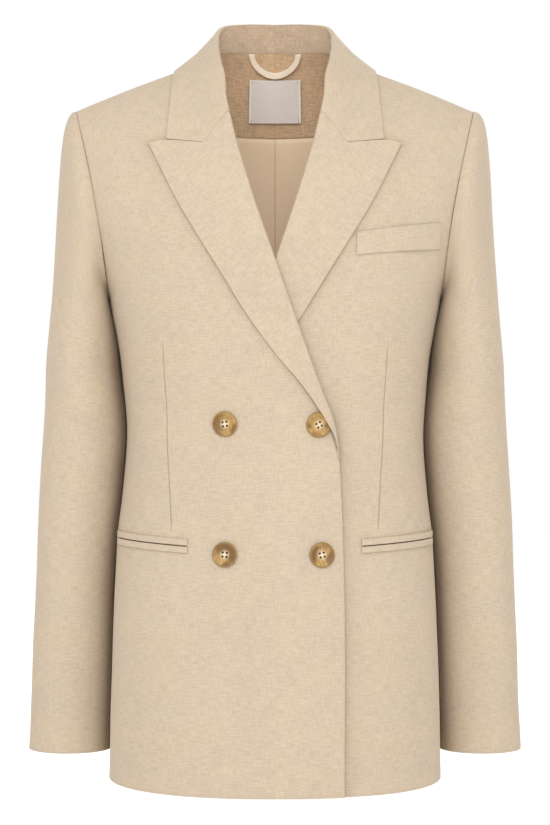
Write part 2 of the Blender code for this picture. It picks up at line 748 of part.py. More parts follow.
def sleeve_points(angle, v):
    """The head is a bent loft from the armhole to the biceps, and the arm a stack of ovals to the cuff."""
    cuff = SLEEVE[0].height
    biceps = SLEEVE[-1].height
    head_share = HEAD_ROWS / (HEAD_ROWS + ARM_ROWS)
    start = armhole_ring(angle)
    end = sleeve_ring(angle, np.full_like(angle, biceps))
    high = ((1 + np.cos(angle)) / 2)[:, None]
    sideways = np.sin(angle)[:, None]
    leave_x = UNDERARM_STAND + HEAD_STAND * high + ARMHOLE_HOLLOW * sideways**2
    leave_z = HEAD_RISE * high - UNDERARM_STAND * (1 - high)
    leave = np.concatenate([leave_x, -HEAD_FORWARD * sideways, leave_z], axis=1)
    fall = HEAD_FALL * (start - end)[:, 2:3]
    arrive = np.concatenate([-HEAD_TUCK * HEAD_STAND * high, 0 * high, fall], axis=1)
    t = np.clip(v / head_share, 0, 1)[:, None]
    t = t * (HEAD_PACE + (1 - HEAD_PACE) * t)
    head = (
        start * (1 - t) ** 3
        + (start + leave) * 3 * t * (1 - t) ** 2
        + (end + arrive) * 3 * t**2 * (1 - t)
        + end * t**3
    )
    down = np.clip((v - head_share) / (1 - head_share), 0, 1)
    arm = sleeve_ring(angle, biceps + (cuff - biceps) * down)
    return np.where((v <= head_share)[:, None], head, arm)


def sleeve_skin(first_angle, last_angle):
    def skin(u, v):
        return sleeve_points(first_angle + (last_angle - first_angle) * u, v)

    return skin


# ---------------------------------------------------------------- pockets
def welt_skin(u, v):
    low, high = (np.array(edge) for edge in WELT)
    u = u[:, None]
    foot = low[0] + (low[1] - low[0]) * u
    top = high[0] + (high[1] - high[0]) * u
    flat = foot + (top - foot) * v[:, None]
    return on_front(flat, np.full(len(flat), CLOTH + SEAM_GAP), 1.0)


def jet_skin(is_upper, is_under):
    def skin(u, v):
        out = JET_INNER + (JET_OUTER - JET_INNER) * np.sin(u * math.pi / 2)
        slit = JET_HEIGHT + JET_RISE * (out - JET_INNER) / (JET_OUTER - JET_INNER)
        first = JET_SLIT / 2 if is_upper else -JET_SLIT / 2 - JET_WIDTH
        flat = np.stack([out, slit + first + JET_WIDTH * v], axis=1)
        return on_front(flat, np.full(len(u), CLOTH + SEAM_GAP), is_under)

    return skin


# ---------------------------------------------------------------- making objects
def new_collection(name, is_hidden=False):
    made = bpy.data.collections.new(name)
    made.hide_render = is_hidden
    bpy.context.scene.collection.children.link(made)
    return made


def finish(name, colour, roughness):
    material = bpy.data.materials.new(name)
    material.use_nodes = True
    shader = material.node_tree.nodes["Principled BSDF"]
    shader.inputs["Base Color"].default_value = (*colour, 1)
    shader.inputs["Roughness"].default_value = roughness
    shader.inputs["Metallic"].default_value = 0
    return material


def shell(name, columns, rows, skin, thickness=CLOTH, is_right=False, turned=False, look=SUITING):
    """A wall of cloth: a grid over a skin, thickened behind it, and mirrored for the wearer's right."""
    grid = bmesh.new()
    bmesh.ops.create_grid(grid, x_segments=columns, y_segments=rows, size=0.5)
    places = np.array([vert.co[:] for vert in grid.verts]) + 0.5
    points = skin(np.clip(places[:, 0], 0, 1), np.clip(places[:, 1], 0, 1))
    if is_right:
        points[:, 0] *= -1
    for vert, point in zip(grid.verts, points):
        vert.co = point
    if turned != is_right:
        bmesh.ops.reverse_faces(grid, faces=grid.faces)
    mesh = bpy.data.meshes.new(name)
    grid.to_mesh(mesh)
    grid.free()
    mesh.shade_smooth()
    mesh.materials.append(finish(name, *look))
    made = bpy.data.objects.new(name, mesh)
    jacket.objects.link(made)
    wall = made.modifiers.new("wall", "SOLIDIFY")
    wall.thickness = thickness
    wall.offset = -1
    wall.use_even_offset = True
    return made


def holes_cutter():
    """Four rods for a button's holes."""
    rods = bmesh.new()
    for x in (-BUTTON_HOLE_SPACING, BUTTON_HOLE_SPACING):
        for y in (-BUTTON_HOLE_SPACING, BUTTON_HOLE_SPACING):
            made = bmesh.ops.create_cone(
                rods,
                cap_ends=True,
                segments=BUTTON_HOLE_SIDES,
                radius1=BUTTON_HOLE_RADIUS,
                radius2=BUTTON_HOLE_RADIUS,
                depth=BUTTON_DRILL,
            )
            bmesh.ops.translate(rods, verts=made["verts"], vec=(x, y, 0))
    mesh = bpy.data.meshes.new("button_holes")
    rods.to_mesh(mesh)
    rods.free()
    made = bpy.data.objects.new("button_holes", mesh)
    made.hide_render = True
    made.display_type = "WIRE"
    cutters.objects.link(made)
    return made


def button(place, mesh, holes):
    """A turned button, seated on the upper front with its face outwards."""
    flat = np.array([[place.out, place.height]])
    seat = on_front(flat, np.array([BUTTON_SEAT]), 0.0)[0]
    facing = outward(on_front(flat, np.zeros(1), 0.0))[0]
    seat[0] *= -1
    facing[0] *= -1
    made = bpy.data.objects.new(f"button_{place.name}", mesh)
    made.location = seat
    made.rotation_euler = Vector(facing).to_track_quat("Z", "X").to_euler()
    jacket.objects.link(made)
    turned = made.modifiers.new("turned", "SCREW")
    turned.steps = BUTTON_STEPS
    turned.render_steps = BUTTON_STEPS
    turned.use_merge_vertices = True
    turned.merge_threshold = BUTTON_MERGE
    drilled = made.modifiers.new("drilled", "BOOLEAN")
    drilled.operation = "DIFFERENCE"
    drilled.solver = "EXACT"
    drilled.object = holes[place.name]
    holes[place.name].location = made.location
    holes[place.name].rotation_euler = made.rotation_euler


def button_mesh():
    mesh = bpy.data.meshes.new("button")
    edges = [(i, i + 1) for i in range(len(BUTTON_PROFILE) - 1)]
    mesh.from_pydata([(radius, 0, height) for radius, height in BUTTON_PROFILE], edges, [])
    mesh.materials.append(finish("horn", *HORN))
    return mesh


def make_fronts():
    for name, is_right in (("right", True), ("left", False)):
        is_under = 0.0 if is_right else 1.0
        shell(f"front_{name}", FRONT_COLUMNS, BODY_ROWS, front_skin(is_under), is_right=is_right)
        shell(f"lapel_{name}", LAPEL_COLUMNS, LAPEL_ROWS, lapel_skin(is_under), is_right=is_right)
        for part, is_upper in (("upper", True), ("lower", False)):
            skin = jet_skin(is_upper, is_under)
            shell(f"pocket_jet_{part}_{name}", JET_COLUMNS, 1, skin, is_right=is_right)
    shell("breast_welt", WELT_COLUMNS, WELT_ROWS, welt_skin)


def make_back():
    lining = back_band(lining_foot, lining_top, -(CLOTH + LINING_GAP), low_share=LINING_LOW_SHARE)
    facing = back_band(facing_foot, facing_top, -(CLOTH + LINING_GAP), first=-1.0)
    for name, is_right in (("right", True), ("left", False)):
        shell(f"back_{name}", BACK_COLUMNS, BODY_ROWS, back_skin, is_right=is_right, turned=True)
        look = dict(turned=True, look=LINING)
        shell(f"back_lining_{name}", BACK_COLUMNS, LINING_ROWS, lining, SATIN, is_right, **look)
    shell("back_neck_facing", 2 * BACK_COLUMNS, FACING_ROWS, facing, turned=True)
    shell("neck_label", LABEL_COLUMNS, LABEL_ROWS, label_skin, LABEL_THICKNESS, turned=True, look=LABEL)
    shell("hanger_loop", 1, LOOP_ROWS, loop_skin, LOOP_THICKNESS, turned=True, look=TAPE)
    shell("collar", COLLAR_COLUMNS, COLLAR_ROWS, collar_skin)


def make_sleeves():
    rows = HEAD_ROWS + ARM_ROWS
    top = sleeve_skin(BACK_SLEEVE_SEAM - 2 * math.pi, FRONT_SLEEVE_SEAM - SLEEVE_SEAM_ANGLE)
    under = sleeve_skin(FRONT_SLEEVE_SEAM, BACK_SLEEVE_SEAM - SLEEVE_SEAM_ANGLE)
    for name, is_right in (("right", True), ("left", False)):
        shell(f"top_sleeve_{name}", TOP_SLEEVE_COLUMNS, rows, top, is_right=is_right)
        shell(f"under_sleeve_{name}", UNDER_SLEEVE_COLUMNS, rows, under, is_right=is_right)


def make_buttons():
    mesh = button_mesh()
    holes = {place.name: holes_cutter() for place in BUTTONS}
    for place in BUTTONS:
        button(place, mesh, holes)


for old in list(bpy.data.objects):
    bpy.data.objects.remove(old)
jacket = new_collection("double_breasted_blazer")
cutters = new_collection("cutters", is_hidden=True)
make_fronts()
make_back()
make_sleeves()
make_buttons()
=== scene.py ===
import math

import bpy
import numpy as np
from mathutils import Matrix, Quaternion, Vector


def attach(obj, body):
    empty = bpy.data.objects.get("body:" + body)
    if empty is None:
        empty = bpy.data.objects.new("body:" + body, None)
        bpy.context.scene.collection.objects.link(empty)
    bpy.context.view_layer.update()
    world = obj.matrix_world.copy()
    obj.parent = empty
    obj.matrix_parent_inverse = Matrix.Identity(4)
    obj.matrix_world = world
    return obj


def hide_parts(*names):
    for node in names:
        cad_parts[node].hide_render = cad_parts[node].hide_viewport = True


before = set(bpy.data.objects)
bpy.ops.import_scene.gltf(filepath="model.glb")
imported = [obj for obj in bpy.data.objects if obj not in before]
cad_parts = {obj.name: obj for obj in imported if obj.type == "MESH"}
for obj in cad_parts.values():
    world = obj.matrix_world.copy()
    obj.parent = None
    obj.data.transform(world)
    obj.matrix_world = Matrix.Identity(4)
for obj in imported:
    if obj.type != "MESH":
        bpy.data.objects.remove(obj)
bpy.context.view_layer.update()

print("frame loaded")

# Metres, +Z up, +X the wearer's left, the front faces -Y. The fronts, lapels and sleeves are worked out for
# the left and mirrored, so "out" is away from the middle line. The cut below is the one the solids have.
cloth = {"wall": 0.0016, "layerGap": 0.0008, "edgeRound": 0.0005, "leastSide": 0.0101}
seam = {"gap": 0.0003, "lean": 0.0003, "shut": -0.0001, "shutFrom": 0.97}  # sewn edges meet
lining = {"wall": 0.0008, "gap": 0.0018, "hem": -0.683, "reach": 0.985, "rounds": 10}
body = {
    "hem": -0.708, "underarm": -0.235, "shoulderX": 0.1976, "shoulderZ": -0.0461,
    "shoulderSlope": 0.429, "shoulderCurve": 0.35,
    "bendFrom": 0.55, "highest": 0.98, "widest": 0.97, "rounds": 12,
    "round": {-1: 2.25, 1: 2.30}, "crown": {-1: 1.90, 1: 2.30},  # -1 is the front, 1 the back
}
neck = {
    "out": 0.064, "rise": 0.0535, "blend": 0.020, "riseWidth": 0.090, "backDrop": 0.148, "backSquareness": 1.6,
}
armhole = {"out": 0.1640, "hollow": 0.0060, "depth": {-1: 0.062, 1: 0.060}}
roll = {
    "radius": 0.0023, "lead": 0.0012, "seamGap": 0.0006, "breakHeight": -0.368, "start": (-0.3925, -0.3895),
    "taper": (-0.3900, -0.3500), "thinnest": 0.0008, "rows": (-0.3945, -0.3870),
    "tuck": 0.0009, "tuckReach": 0.0012, "tuckRows": 0.9945, "tuckEnd": (0.44, 0.50),
    "tuckOut": 0.8, "tuckDrop": 0.4, "tuckFrom": 0.15,
    "gorgeHeight": -0.0605, "breakFullness": 0.0012, "breakSoft": (-0.352, -0.318), "belly": 0.0006,
}
under = {  # where the lower front gives way to the upper one and to its own lapel
    "beside": (0.070, 0.125), "belowNeck": (-0.200, -0.090), "lap": (0.030, 0.100),
    "lapelFoot": (-0.420, -0.372), "lapelHead": (-0.215, -0.110),
}
collarCut = {
    "foldRadius": 0.0024, "seat": -0.0002, "inset": 0.008, "front": (0.5, 0.85), "rolled": (0.80, 0.92), "endPower": 4,
}
sleeveCut = {
    "frontSeam": math.radians(157), "backSeam": math.radians(235), "seamAngle": math.radians(0.02),
    "headStand": 0.018, "headRise": 0.0015, "underarmStand": 0.004, "headForward": 0.010,
    "headLean": 0.91, "headDrop": 0.67, "headEase": 0.55, "headRows": 6, "armRows": 8,
}
welt = {"corners": (((0.0776, -0.1976), (0.1592, -0.1888)), ((0.0774, -0.1756), (0.1587, -0.1635)))}
jet = {"inner": 0.0826, "outer": 0.1535, "height": -0.4732, "rise": 0.0040, "width": 0.0062, "slit": 0.0010}
facing = {"foot": -0.0592, "footCurve": 1.2, "footReach": 0.05, "inside": -(2 * cloth["wall"] + lining["gap"])}
label = {"halfWidth": 0.0291, "top": 0.0006, "foot": -0.0431, "seat": 0.0022, "wall": 0.0006}
loop = {
    "halfSpan": 0.0282, "drop": 0.0205, "tape": 0.0064, "seat": 0.0032, "wall": 0.0010, "round": 1.10, "rise": 0.0004,
}
shares = {"hem": 8, "break": 1, "low": 12, "all": 21, "underarm": 12 / 21}
lapelSteps = {"lead": 1, "bend": 4, "roll": 5, "leaf": 8, "all": 13}
collarSteps = {"stand": 2, "fold": 4, "all": 14}

girths = {
    "height": [-0.708, -0.608, -0.514, -0.465, -0.429, -0.365, -0.332, -0.294, -0.235],
    "halfWidth": [0.165, 0.1628, 0.1595, 0.1563, 0.1517, 0.1474, 0.15, 0.1536, 0.164],
    "frontDepth": [0.132, 0.129, 0.123, 0.12, 0.118, 0.115, 0.117, 0.121, 0.125],
    "backDepth": [0.14, 0.138, 0.131, 0.122, 0.113, 0.104, 0.104, 0.108, 0.115],
}
frontEdge = {
    "height": [
        -0.708, -0.504, -0.4008, -0.3772, -0.3602, -0.3112, -0.2598, -0.2004, -0.1353, -0.083, -0.0476, 0, 0.013,
    ],
    "out": [
        -0.0657, -0.0654, -0.0617, -0.0601, -0.0566, -0.039, -0.0206, 0.0003, 0.0225, 0.0375, 0.0455, 0.0545, 0.064,
    ],
}
lapelOutline = {
    "along": [-0.0715, -0.03, 0.0, 0.05, 0.11, 0.278, 0.382, 0.576, 0.778, 1.0],
    "out": [-0.0605, -0.0583, -0.0550, -0.0472, -0.0345, 0.0014, 0.0214, 0.0548, 0.0889, 0.1212],
    "height": [-0.390, -0.3775, -0.3685, -0.3542, -0.3338, -0.2888, -0.2617, -0.2081, -0.1522, -0.0885],
}
lapelTop = {
    "along": [0.0, 0.25, 0.5, 0.75, 0.9, 1.0],
    "out": [0.0427, 0.0540, 0.0664, 0.0946, 0.1103, 0.1212],
    "height": [-0.0605, -0.0735, -0.0902, -0.0867, -0.0854, -0.0885],
}
collarEnd = {
    "along": [0.0, 0.25, 0.5, 1.0],
    "out": [0.0427, 0.0540, 0.0664, 0.1042],
    "height": [-0.0605, -0.0735, -0.0901, -0.0850],
}
collarStations = {
    "along": [0, 0.2, 0.38, 0.55, 0.7, 0.85, 0.93, 1],
    "foldX": [0, 0.03, 0.052, 0.0575, 0.056, 0.051, 0.047, 0.0427],
    "foldY": [0.082, 0.076, 0.056, 0.021, -0.012, -0.058, -0.077, -0.0915],
    "foldZ": [0.0568, 0.0563, 0.0503, 0.0355, 0.024, -0.008, -0.034, -0.0605],
    "leafX": [0, 0.046, 0.082, 0.0985, 0.1, 0.1018, 0.103, 0.1042],
    "leafY": [0.085, 0.079, 0.047, 0, -0.032, -0.064, -0.076, -0.085],
    "leafZ": [0.006, 0.002, -0.001, -0.004, -0.0165, -0.0465, -0.0665, -0.0848],
}
sleeveSections = {
    "height": [-0.688, -0.6, -0.5, -0.42, -0.365, -0.3],
    "inner": [0.1668, 0.1632, 0.1592, 0.1508, 0.1470, 0.1543],
    "outer": [0.2505, 0.2461, 0.2411, 0.237, 0.2333, 0.2294],
    "middleY": [0.04, 0.034, 0.027, 0.021, 0.017, 0.012],
    "halfDepth": [0.04, 0.044, 0.05, 0.056, 0.06, 0.064],
}


def through(at, knots, values):
    knots = np.asarray(knots, float)
    values = np.asarray(values, float)
    slopes = np.gradient(values, knots, axis=0)
    at = np.clip(at, knots[0], knots[-1])
    i = np.clip(np.searchsorted(knots, at) - 1, 0, len(knots) - 2)
    span = knots[i + 1] - knots[i]
    t = (at - knots[i]) / span
    if values.ndim > 1:
        span = span[..., None]
        t = t[..., None]
    return (
        values[i] * (1 + 2 * t) * (1 - t) ** 2
        + slopes[i] * span * t * (1 - t) ** 2
        + values[i + 1] * t**2 * (3 - 2 * t)
        - slopes[i + 1] * span * t**2 * (1 - t)
    )


def read(table, key, name, at):
    return through(at, table[key], table[name])


def ease(at, start, end):
    t = np.clip((at - start) / (end - start), 0, 1)
    return t * t * (3 - 2 * t)


def unit(vectors):
    return vectors / np.linalg.norm(vectors, axis=1)[:, None]


def bySide(pair, side):
    return np.where(np.asarray(side) < 0, pair[-1], pair[1])


def topHeight(x):
    inward = math.hypot(body["shoulderX"], neck["blend"]) - np.hypot(x, neck["blend"])
    line = body["shoulderZ"] + body["shoulderSlope"] * inward - body["shoulderCurve"] * inward**2
    return line + neck["rise"] * (1 - ease(np.abs(x), 0, neck["riseWidth"]))


def heightAt(x, level):
    return body["underarm"] + (topHeight(x) - body["underarm"]) * level


def levelOf(x, height):
    return (height - body["underarm"]) / (topHeight(x) - body["underarm"])


def girth(name, height):
    return read(girths, "height", name, height)


def depth(height, side):
    return np.where(np.asarray(side) < 0, girth("frontDepth", height), girth("backDepth", height))


def armholeRound(height):
    middle = (body["shoulderZ"] + body["underarm"]) / 2
    half = (body["shoulderZ"] - body["underarm"]) / 2
    return np.clip(1 - ((height - middle) / half) ** 2, 0, 1)


def armholeOut(height):
    share = (height - body["underarm"]) / (body["shoulderZ"] - body["underarm"])
    straight = armhole["out"] + (body["shoulderX"] - armhole["out"]) * share
    return straight - armhole["hollow"] * armholeRound(height)


def armholeY(height, side):
    return bySide(armhole["depth"], side) * np.sqrt(armholeRound(height))


def armholeX(level):
    x = np.full(np.shape(level), armhole["out"])
    for _ in range(body["rounds"]):
        x = armholeOut(heightAt(x, level))
    return x


def crown(level, side):
    power = bySide(body["crown"], side)
    return np.clip(1 - np.clip(level, 0, 1) ** power, 0, 1) ** (1 / power)


def reach(level, side):
    level = np.clip(level, 0, body["highest"])
    x = armholeX(level)
    share = armholeY(heightAt(x, level), side) / (depth(body["underarm"], side) * crown(level, side))
    power = bySide(body["round"], side)
    return x / (1 - np.clip(share, 0, body["widest"]) ** power) ** (1 / power)


def section(x, height, side):
    level = levelOf(x, height)
    isLow = height < body["underarm"]
    halfWidth = np.where(isLow, girth("halfWidth", height), reach(level, side))
    fullDepth = np.where(isLow, depth(height, side), depth(body["underarm"], side) * crown(level, side))
    return halfWidth, fullDepth


def bodyY(x, height, side):
    halfWidth, fullDepth = section(x, height, side)
    power = bySide(body["round"], side)
    share = np.clip(1 - np.abs(x / halfWidth) ** power, 0, 1) ** (1 / power)
    return np.where(np.asarray(side) < 0, -1.0, 1.0) * fullDepth * share


def outside(x, y, z, side, isLow):
    power = bySide(body["round"], side)
    level = levelOf(x, z)
    halfWidth, fullDepth = section(x, z, side)
    across = np.abs(x / halfWidth) ** power + np.abs(y / np.maximum(fullDepth, 1e-4)) ** power - 1
    share = np.clip(1 - np.abs(x / halfWidth) ** power, 1e-3, 1) ** (1 / power)
    bend = bySide(body["crown"], side)
    upwards = np.clip(level, 0, 3) ** bend + np.abs(y / (depth(body["underarm"], side) * share)) ** bend - 1
    return np.where(isLow, across, upwards)


def isBelowBend(points):
    return levelOf(points[:, 0], points[:, 2]) < body["bendFrom"]


def slopeOfOutside(points, step=2e-5):
    found = np.empty_like(points)
    side = np.where(points[:, 1] < 0, -1, 1)
    isLow = isBelowBend(points)
    for axis in range(3):
        ahead = points.copy()
        behind = points.copy()
        ahead[:, axis] += step
        behind[:, axis] -= step
        found[:, axis] = (outside(*ahead.T, side, isLow) - outside(*behind.T, side, isLow)) / (2 * step)
    return found


def outward(points):
    return unit(slopeOfOutside(points))


def standOff(points, height):
    return points + outward(points) * np.reshape(height, (-1, 1))


def keptClear(points, least):
    for _ in range(4):
        slope = slopeOfOutside(points)
        steepness = np.linalg.norm(slope, axis=1)
        side = np.where(points[:, 1] < 0, -1, 1)
        distance = outside(*points.T, side, isBelowBend(points)) / steepness
        points = points + slope / steepness[:, None] * np.clip(least - distance, 0, None)[:, None]
    return points


def angleOf(x, halfWidth, power):
    share = np.clip(np.abs(x) / halfWidth, 0, 1)
    return np.sign(x) * np.arcsin(share ** (power / 2))


def onSection(angle, halfWidth, fullDepth, side):
    power = bySide(body["round"], side)
    x = np.sign(angle) * halfWidth * np.abs(np.sin(angle)) ** (2 / power)
    y = np.where(np.asarray(side) < 0, -1.0, 1.0) * fullDepth * np.clip(np.cos(angle), 0, 1) ** (2 / power)
    return x, y


def rowPlaces(v, side):
    knots = np.array([0, shares["hem"], shares["hem"] + shares["break"], shares["low"]]) / shares["all"]
    heights = [body["hem"], *roll["rows"], body["underarm"]]
    high = np.clip((v - shares["underarm"]) / (1 - shares["underarm"]), 0, 1)
    level = np.sin(high * math.pi / 2) ** (2 / bySide(body["crown"], side))
    return np.interp(v, knots, heights), level, v > shares["underarm"]


def edgeOut(height):
    return read(frontEdge, "height", "out", height)


def edgeSlant(height, step=0.005):
    return np.hypot(1, (edgeOut(height + step) - edgeOut(height - step)) / (2 * step))


def rollRadius(height, isUnder):
    fullness = roll["breakFullness"] * (1 - ease(height, *roll["breakSoft"]))
    full = roll["radius"] + fullness * (1 - isUnder)
    return roll["thinnest"] + (full - roll["thinnest"]) * ease(height, *roll["taper"])


def panelEdgeOut(height, isUnder):
    setBack = rollRadius(height, isUnder) + (roll["lead"] + roll["seamGap"]) * ease(height, *roll["taper"])
    return edgeOut(height) + setBack * edgeSlant(height) * ease(height, *roll["start"])


def sink(out, height, isUnder):
    oneLayer = cloth["wall"] + cloth["layerGap"]
    beside = 1 - ease(out, *under["beside"])
    belowNeck = 1 - ease(height, *under["belowNeck"])
    lapelLayer = 2 * roll["radius"] - cloth["wall"] + roll["belly"] + cloth["layerGap"]
    inLap = 1 - ease(out, *under["lap"])
    atLapel = ease(height, *under["lapelFoot"]) * (1 - ease(height, *under["lapelHead"]))
    return isUnder * (oneLayer * beside * belowNeck + lapelLayer * inLap * atLapel)


def backTop(x):
    inside = np.clip(1 - (x / neck["out"]) ** 2, 0, 1) ** neck["backSquareness"]
    return 1 - neck["backDrop"] * inside


def panelPoints(u, v, side, startOut, topLevel):
    lowHeight, rowLevel, isHigh = rowPlaces(v, side)
    halfWidth = np.where(isHigh, reach(rowLevel, side), girth("halfWidth", lowHeight))
    end = angleOf(np.where(isHigh, armholeX(rowLevel), halfWidth), halfWidth, body["round"][side])
    startX = startOut(lowHeight)
    for _ in range(body["rounds"]):
        startX = np.where(isHigh, startOut(heightAt(startX, rowLevel)), startX)
    start = angleOf(startX, halfWidth, body["round"][side])
    angle = start + (end - start) * u
    x, _ = onSection(angle, halfWidth, halfWidth, side)
    level = rowLevel * (1 - (1 - topLevel(x)) * rowLevel)
    fullDepth = np.where(isHigh, depth(body["underarm"], side) * crown(level, side), depth(lowHeight, side))
    x, y = onSection(angle, halfWidth, fullDepth, side)
    height = np.where(isHigh, heightAt(x, level), lowHeight)
    shut = np.maximum(ease(u, seam["shutFrom"], 1), ease(np.where(isHigh, rowLevel, 0), seam["shutFrom"], 1))
    return np.stack([x, y + side * (seam["gap"] / 2 + seam["lean"]) * (1 - shut), height], axis=1)


def frontSkin(isUnder):
    def skin(u, v):
        points = panelPoints(u, v, -1, lambda height: panelEdgeOut(height, isUnder), np.ones_like)
        return standOff(points, -sink(points[:, 0], points[:, 2], isUnder))

    return skin


def backSkin(u, v):
    return panelPoints(u, v, 1, lambda height: np.full_like(height, 0.0), backTop)


def crownAngle(level):
    return np.arcsin(np.clip(level, 0, 1) ** (body["crown"][1] / 2))


def backBand(lowEdge, highEdge, heightOff, first=0.0, lowShare=0.0):
    def skin(u, v):
        share = (first + (1 - first) * u) * lining["reach"]
        x = share * armhole["out"]
        side = np.ones_like(u)
        inLow = np.clip(v / max(lowShare, 1e-6), 0, 1)
        inHigh = np.clip((v - lowShare) / (1 - lowShare), 0, 1)
        for _ in range(lining["rounds"]):
            low = lowEdge(x)
            firstAngle = crownAngle(levelOf(x, np.maximum(low, body["underarm"])))
            angleUp = firstAngle + (crownAngle(levelOf(x, highEdge(x))) - firstAngle) * inHigh
            highHeight = heightAt(x, np.sin(angleUp) ** (2 / body["crown"][1]))
            height = np.where(v < lowShare, low + (body["underarm"] - low) * inLow, highHeight)
            halfWidth, fullDepth = section(x, height, side)
            endX = np.where(height < body["underarm"], halfWidth, armholeOut(height))
            angle = angleOf(endX, halfWidth, body["round"][1]) * share
            x, y = onSection(angle, halfWidth, fullDepth, side)
        return standOff(np.stack([x, y, height], axis=1), np.full(len(u), heightOff))

    return skin


def facingFoot(x):
    return facing["foot"] + facing["footCurve"] * x**2 * np.exp(-((x / facing["footReach"]) ** 2))


def facingTop(x):
    return heightAt(x, backTop(x)) - seam["shut"]


def liningFoot(x):
    return np.full_like(x, lining["hem"])


def liningTop(x):
    return facingFoot(x) - seam["shut"]


def insideBack(out, height, heightOff):
    y = bodyY(out, height, np.ones_like(out))
    return standOff(np.stack([out, y, height], axis=1), np.full(len(out), heightOff))


def labelSkin(u, v):
    out = label["halfWidth"] * (2 * u - 1)
    height = label["foot"] + (label["top"] - label["foot"]) * v
    return insideBack(out, height, facing["inside"] - label["seat"])


def loopSkin(u, v):
    turn = math.pi * v
    across = (u - 0.5) * loop["tape"]
    ends = heightAt(loop["halfSpan"], backTop(loop["halfSpan"])) + loop["rise"]
    out = -np.sign(np.cos(turn)) * np.abs(np.cos(turn)) ** loop["round"] * (loop["halfSpan"] + across)
    height = ends - np.sin(turn) ** loop["round"] * (loop["drop"] + across)
    return insideBack(out, height, facing["inside"] - loop["seat"])


def outline(table, at):
    return np.stack([np.interp(at, table["along"], table[name]) for name in ("out", "height")], 1)


def lapelEdge(p):
    values = np.stack([lapelOutline["out"], lapelOutline["height"]], axis=1)
    return through(p, lapelOutline["along"], values)


def rollLine(p):
    height = roll["breakHeight"] + (roll["gorgeHeight"] - roll["breakHeight"]) * p
    return np.stack([edgeOut(height), height], axis=1)


def lapelFlat(p, q):
    last = np.ones_like(p)
    flat = rollLine(p) + (lapelEdge(p) - rollLine(p)) * q[:, None]
    straightTop = rollLine(last) + (lapelEdge(last) - rollLine(last)) * q[:, None]
    return flat + (outline(lapelTop, q) - straightTop) * (np.clip(p, 0, 1) ** 3)[:, None]


def leafHeight(q, radius):
    atRoll = 2 * radius - cloth["wall"]
    atEdge = cloth["wall"] + cloth["layerGap"] + 2 * (radius - roll["radius"])
    return atRoll + (atEdge - atRoll) * ease(q, 0, 1) + roll["belly"] * np.sin(math.pi * q)


def onFront(flat, height, isUnder):
    x = flat[:, 0]
    z = flat[:, 1]
    points = np.stack([x, bodyY(x, z, -1) - seam["gap"] / 2 - seam["lean"], z], axis=1)
    return standOff(points, height - sink(x, z, isUnder))


def gorgeSetIn(q, radius):
    return radius * (1 - q) * edgeSlant(roll["gorgeHeight"])


def lapelSkin(isUnder):
    def skin(u, v):
        lowest = lapelOutline["along"][0]
        p = lowest + (1 - lowest) * v
        step = u * lapelSteps["all"]
        lead = np.clip(step / lapelSteps["lead"], 0, 1)
        bend = (np.clip((step - lapelSteps["lead"]) / lapelSteps["bend"], 0, 1) - 0.5) * math.pi
        q = np.clip((step - lapelSteps["roll"]) / lapelSteps["leaf"], 0, 1)
        inRoll = step < lapelSteps["roll"]
        fold = rollLine(p)
        radius = rollRadius(fold[:, 1], isUnder)
        leadWidth = roll["lead"] * ease(fold[:, 1], *roll["taper"])
        tucked = ease(v, roll["tuckRows"], 1) * (1 - ease(q, *roll["tuckEnd"]))  # the top slips under the collar
        thin = radius - roll["tuck"] * tucked
        setIn = np.where(inRoll, radius - thin * np.cos(bend) + leadWidth * (1 - lead), radius * (1 - q))
        inLeaf = leafHeight(q, radius) - roll["tuck"] * tucked
        height = np.where(inRoll, radius - cloth["wall"] + thin * np.sin(bend), inLeaf)
        flat = lapelFlat(p, q)
        inside = ease(q, 0, roll["tuckFrom"])
        flat[:, 0] += setIn * edgeSlant(fold[:, 1]) + roll["tuckReach"] * roll["tuckOut"] * tucked * inside
        flat[:, 1] += roll["tuckReach"] * tucked * (1 - roll["tuckDrop"] * inside)
        return onFront(flat, height, isUnder)

    return skin


def neckSeam(w):
    xBack = neck["out"] * np.sin(np.clip(w / 0.5, 0, 1) * math.pi / 2)
    zBack = heightAt(xBack, backTop(xBack))
    back = np.stack([xBack, bodyY(xBack, zBack, 1), zBack], axis=1)
    gorgeX = panelEdgeOut(roll["gorgeHeight"], 1.0)
    gorgeAngle = np.arcsin(levelOf(gorgeX, roll["gorgeHeight"]) ** (body["crown"][-1] / 2))
    angle = math.pi / 2 + (gorgeAngle - math.pi / 2) * np.clip((w - 0.5) / 0.5, 0, 1)
    level = np.sin(angle) ** (2 / body["crown"][-1])
    xFront = np.full_like(w, neck["out"])
    for _ in range(body["rounds"]):
        zFront = heightAt(xFront, level)
        xFront = panelEdgeOut(zFront, 1.0) - seam["gap"]
    front = np.stack([xFront, bodyY(xFront, zFront, -1), zFront], axis=1)
    return np.where((w < 0.5)[:, None], back, front)


def standFoot(w):
    atFront = ease(w, *collarCut["front"])
    foot = standOff(neckSeam(w), -cloth["wall"] - (cloth["wall"] + lining["gap"]) * (1 - atFront))
    foot[:, :2] *= (1 - collarCut["inset"] * (1 - atFront))[:, None]
    foot[:, 0] -= (seam["gap"] + seam["lean"]) * atFront
    foot[:, 2] += collarCut["seat"]
    return foot


def stationLine(name, w):
    values = np.stack([collarStations[name + axis] for axis in "XYZ"], axis=1)
    return through(w, collarStations["along"], values)


def lapelRoll(out, height, lead, turn):
    bend = turn - math.pi / 2
    setIn = roll["radius"] * (1 - np.cos(bend)) + roll["lead"] * (1 - lead)
    flat = np.stack([out + setIn * edgeSlant(height), height], axis=1)
    return onFront(flat, roll["radius"] - cloth["wall"] + roll["radius"] * np.sin(bend), 0.0)


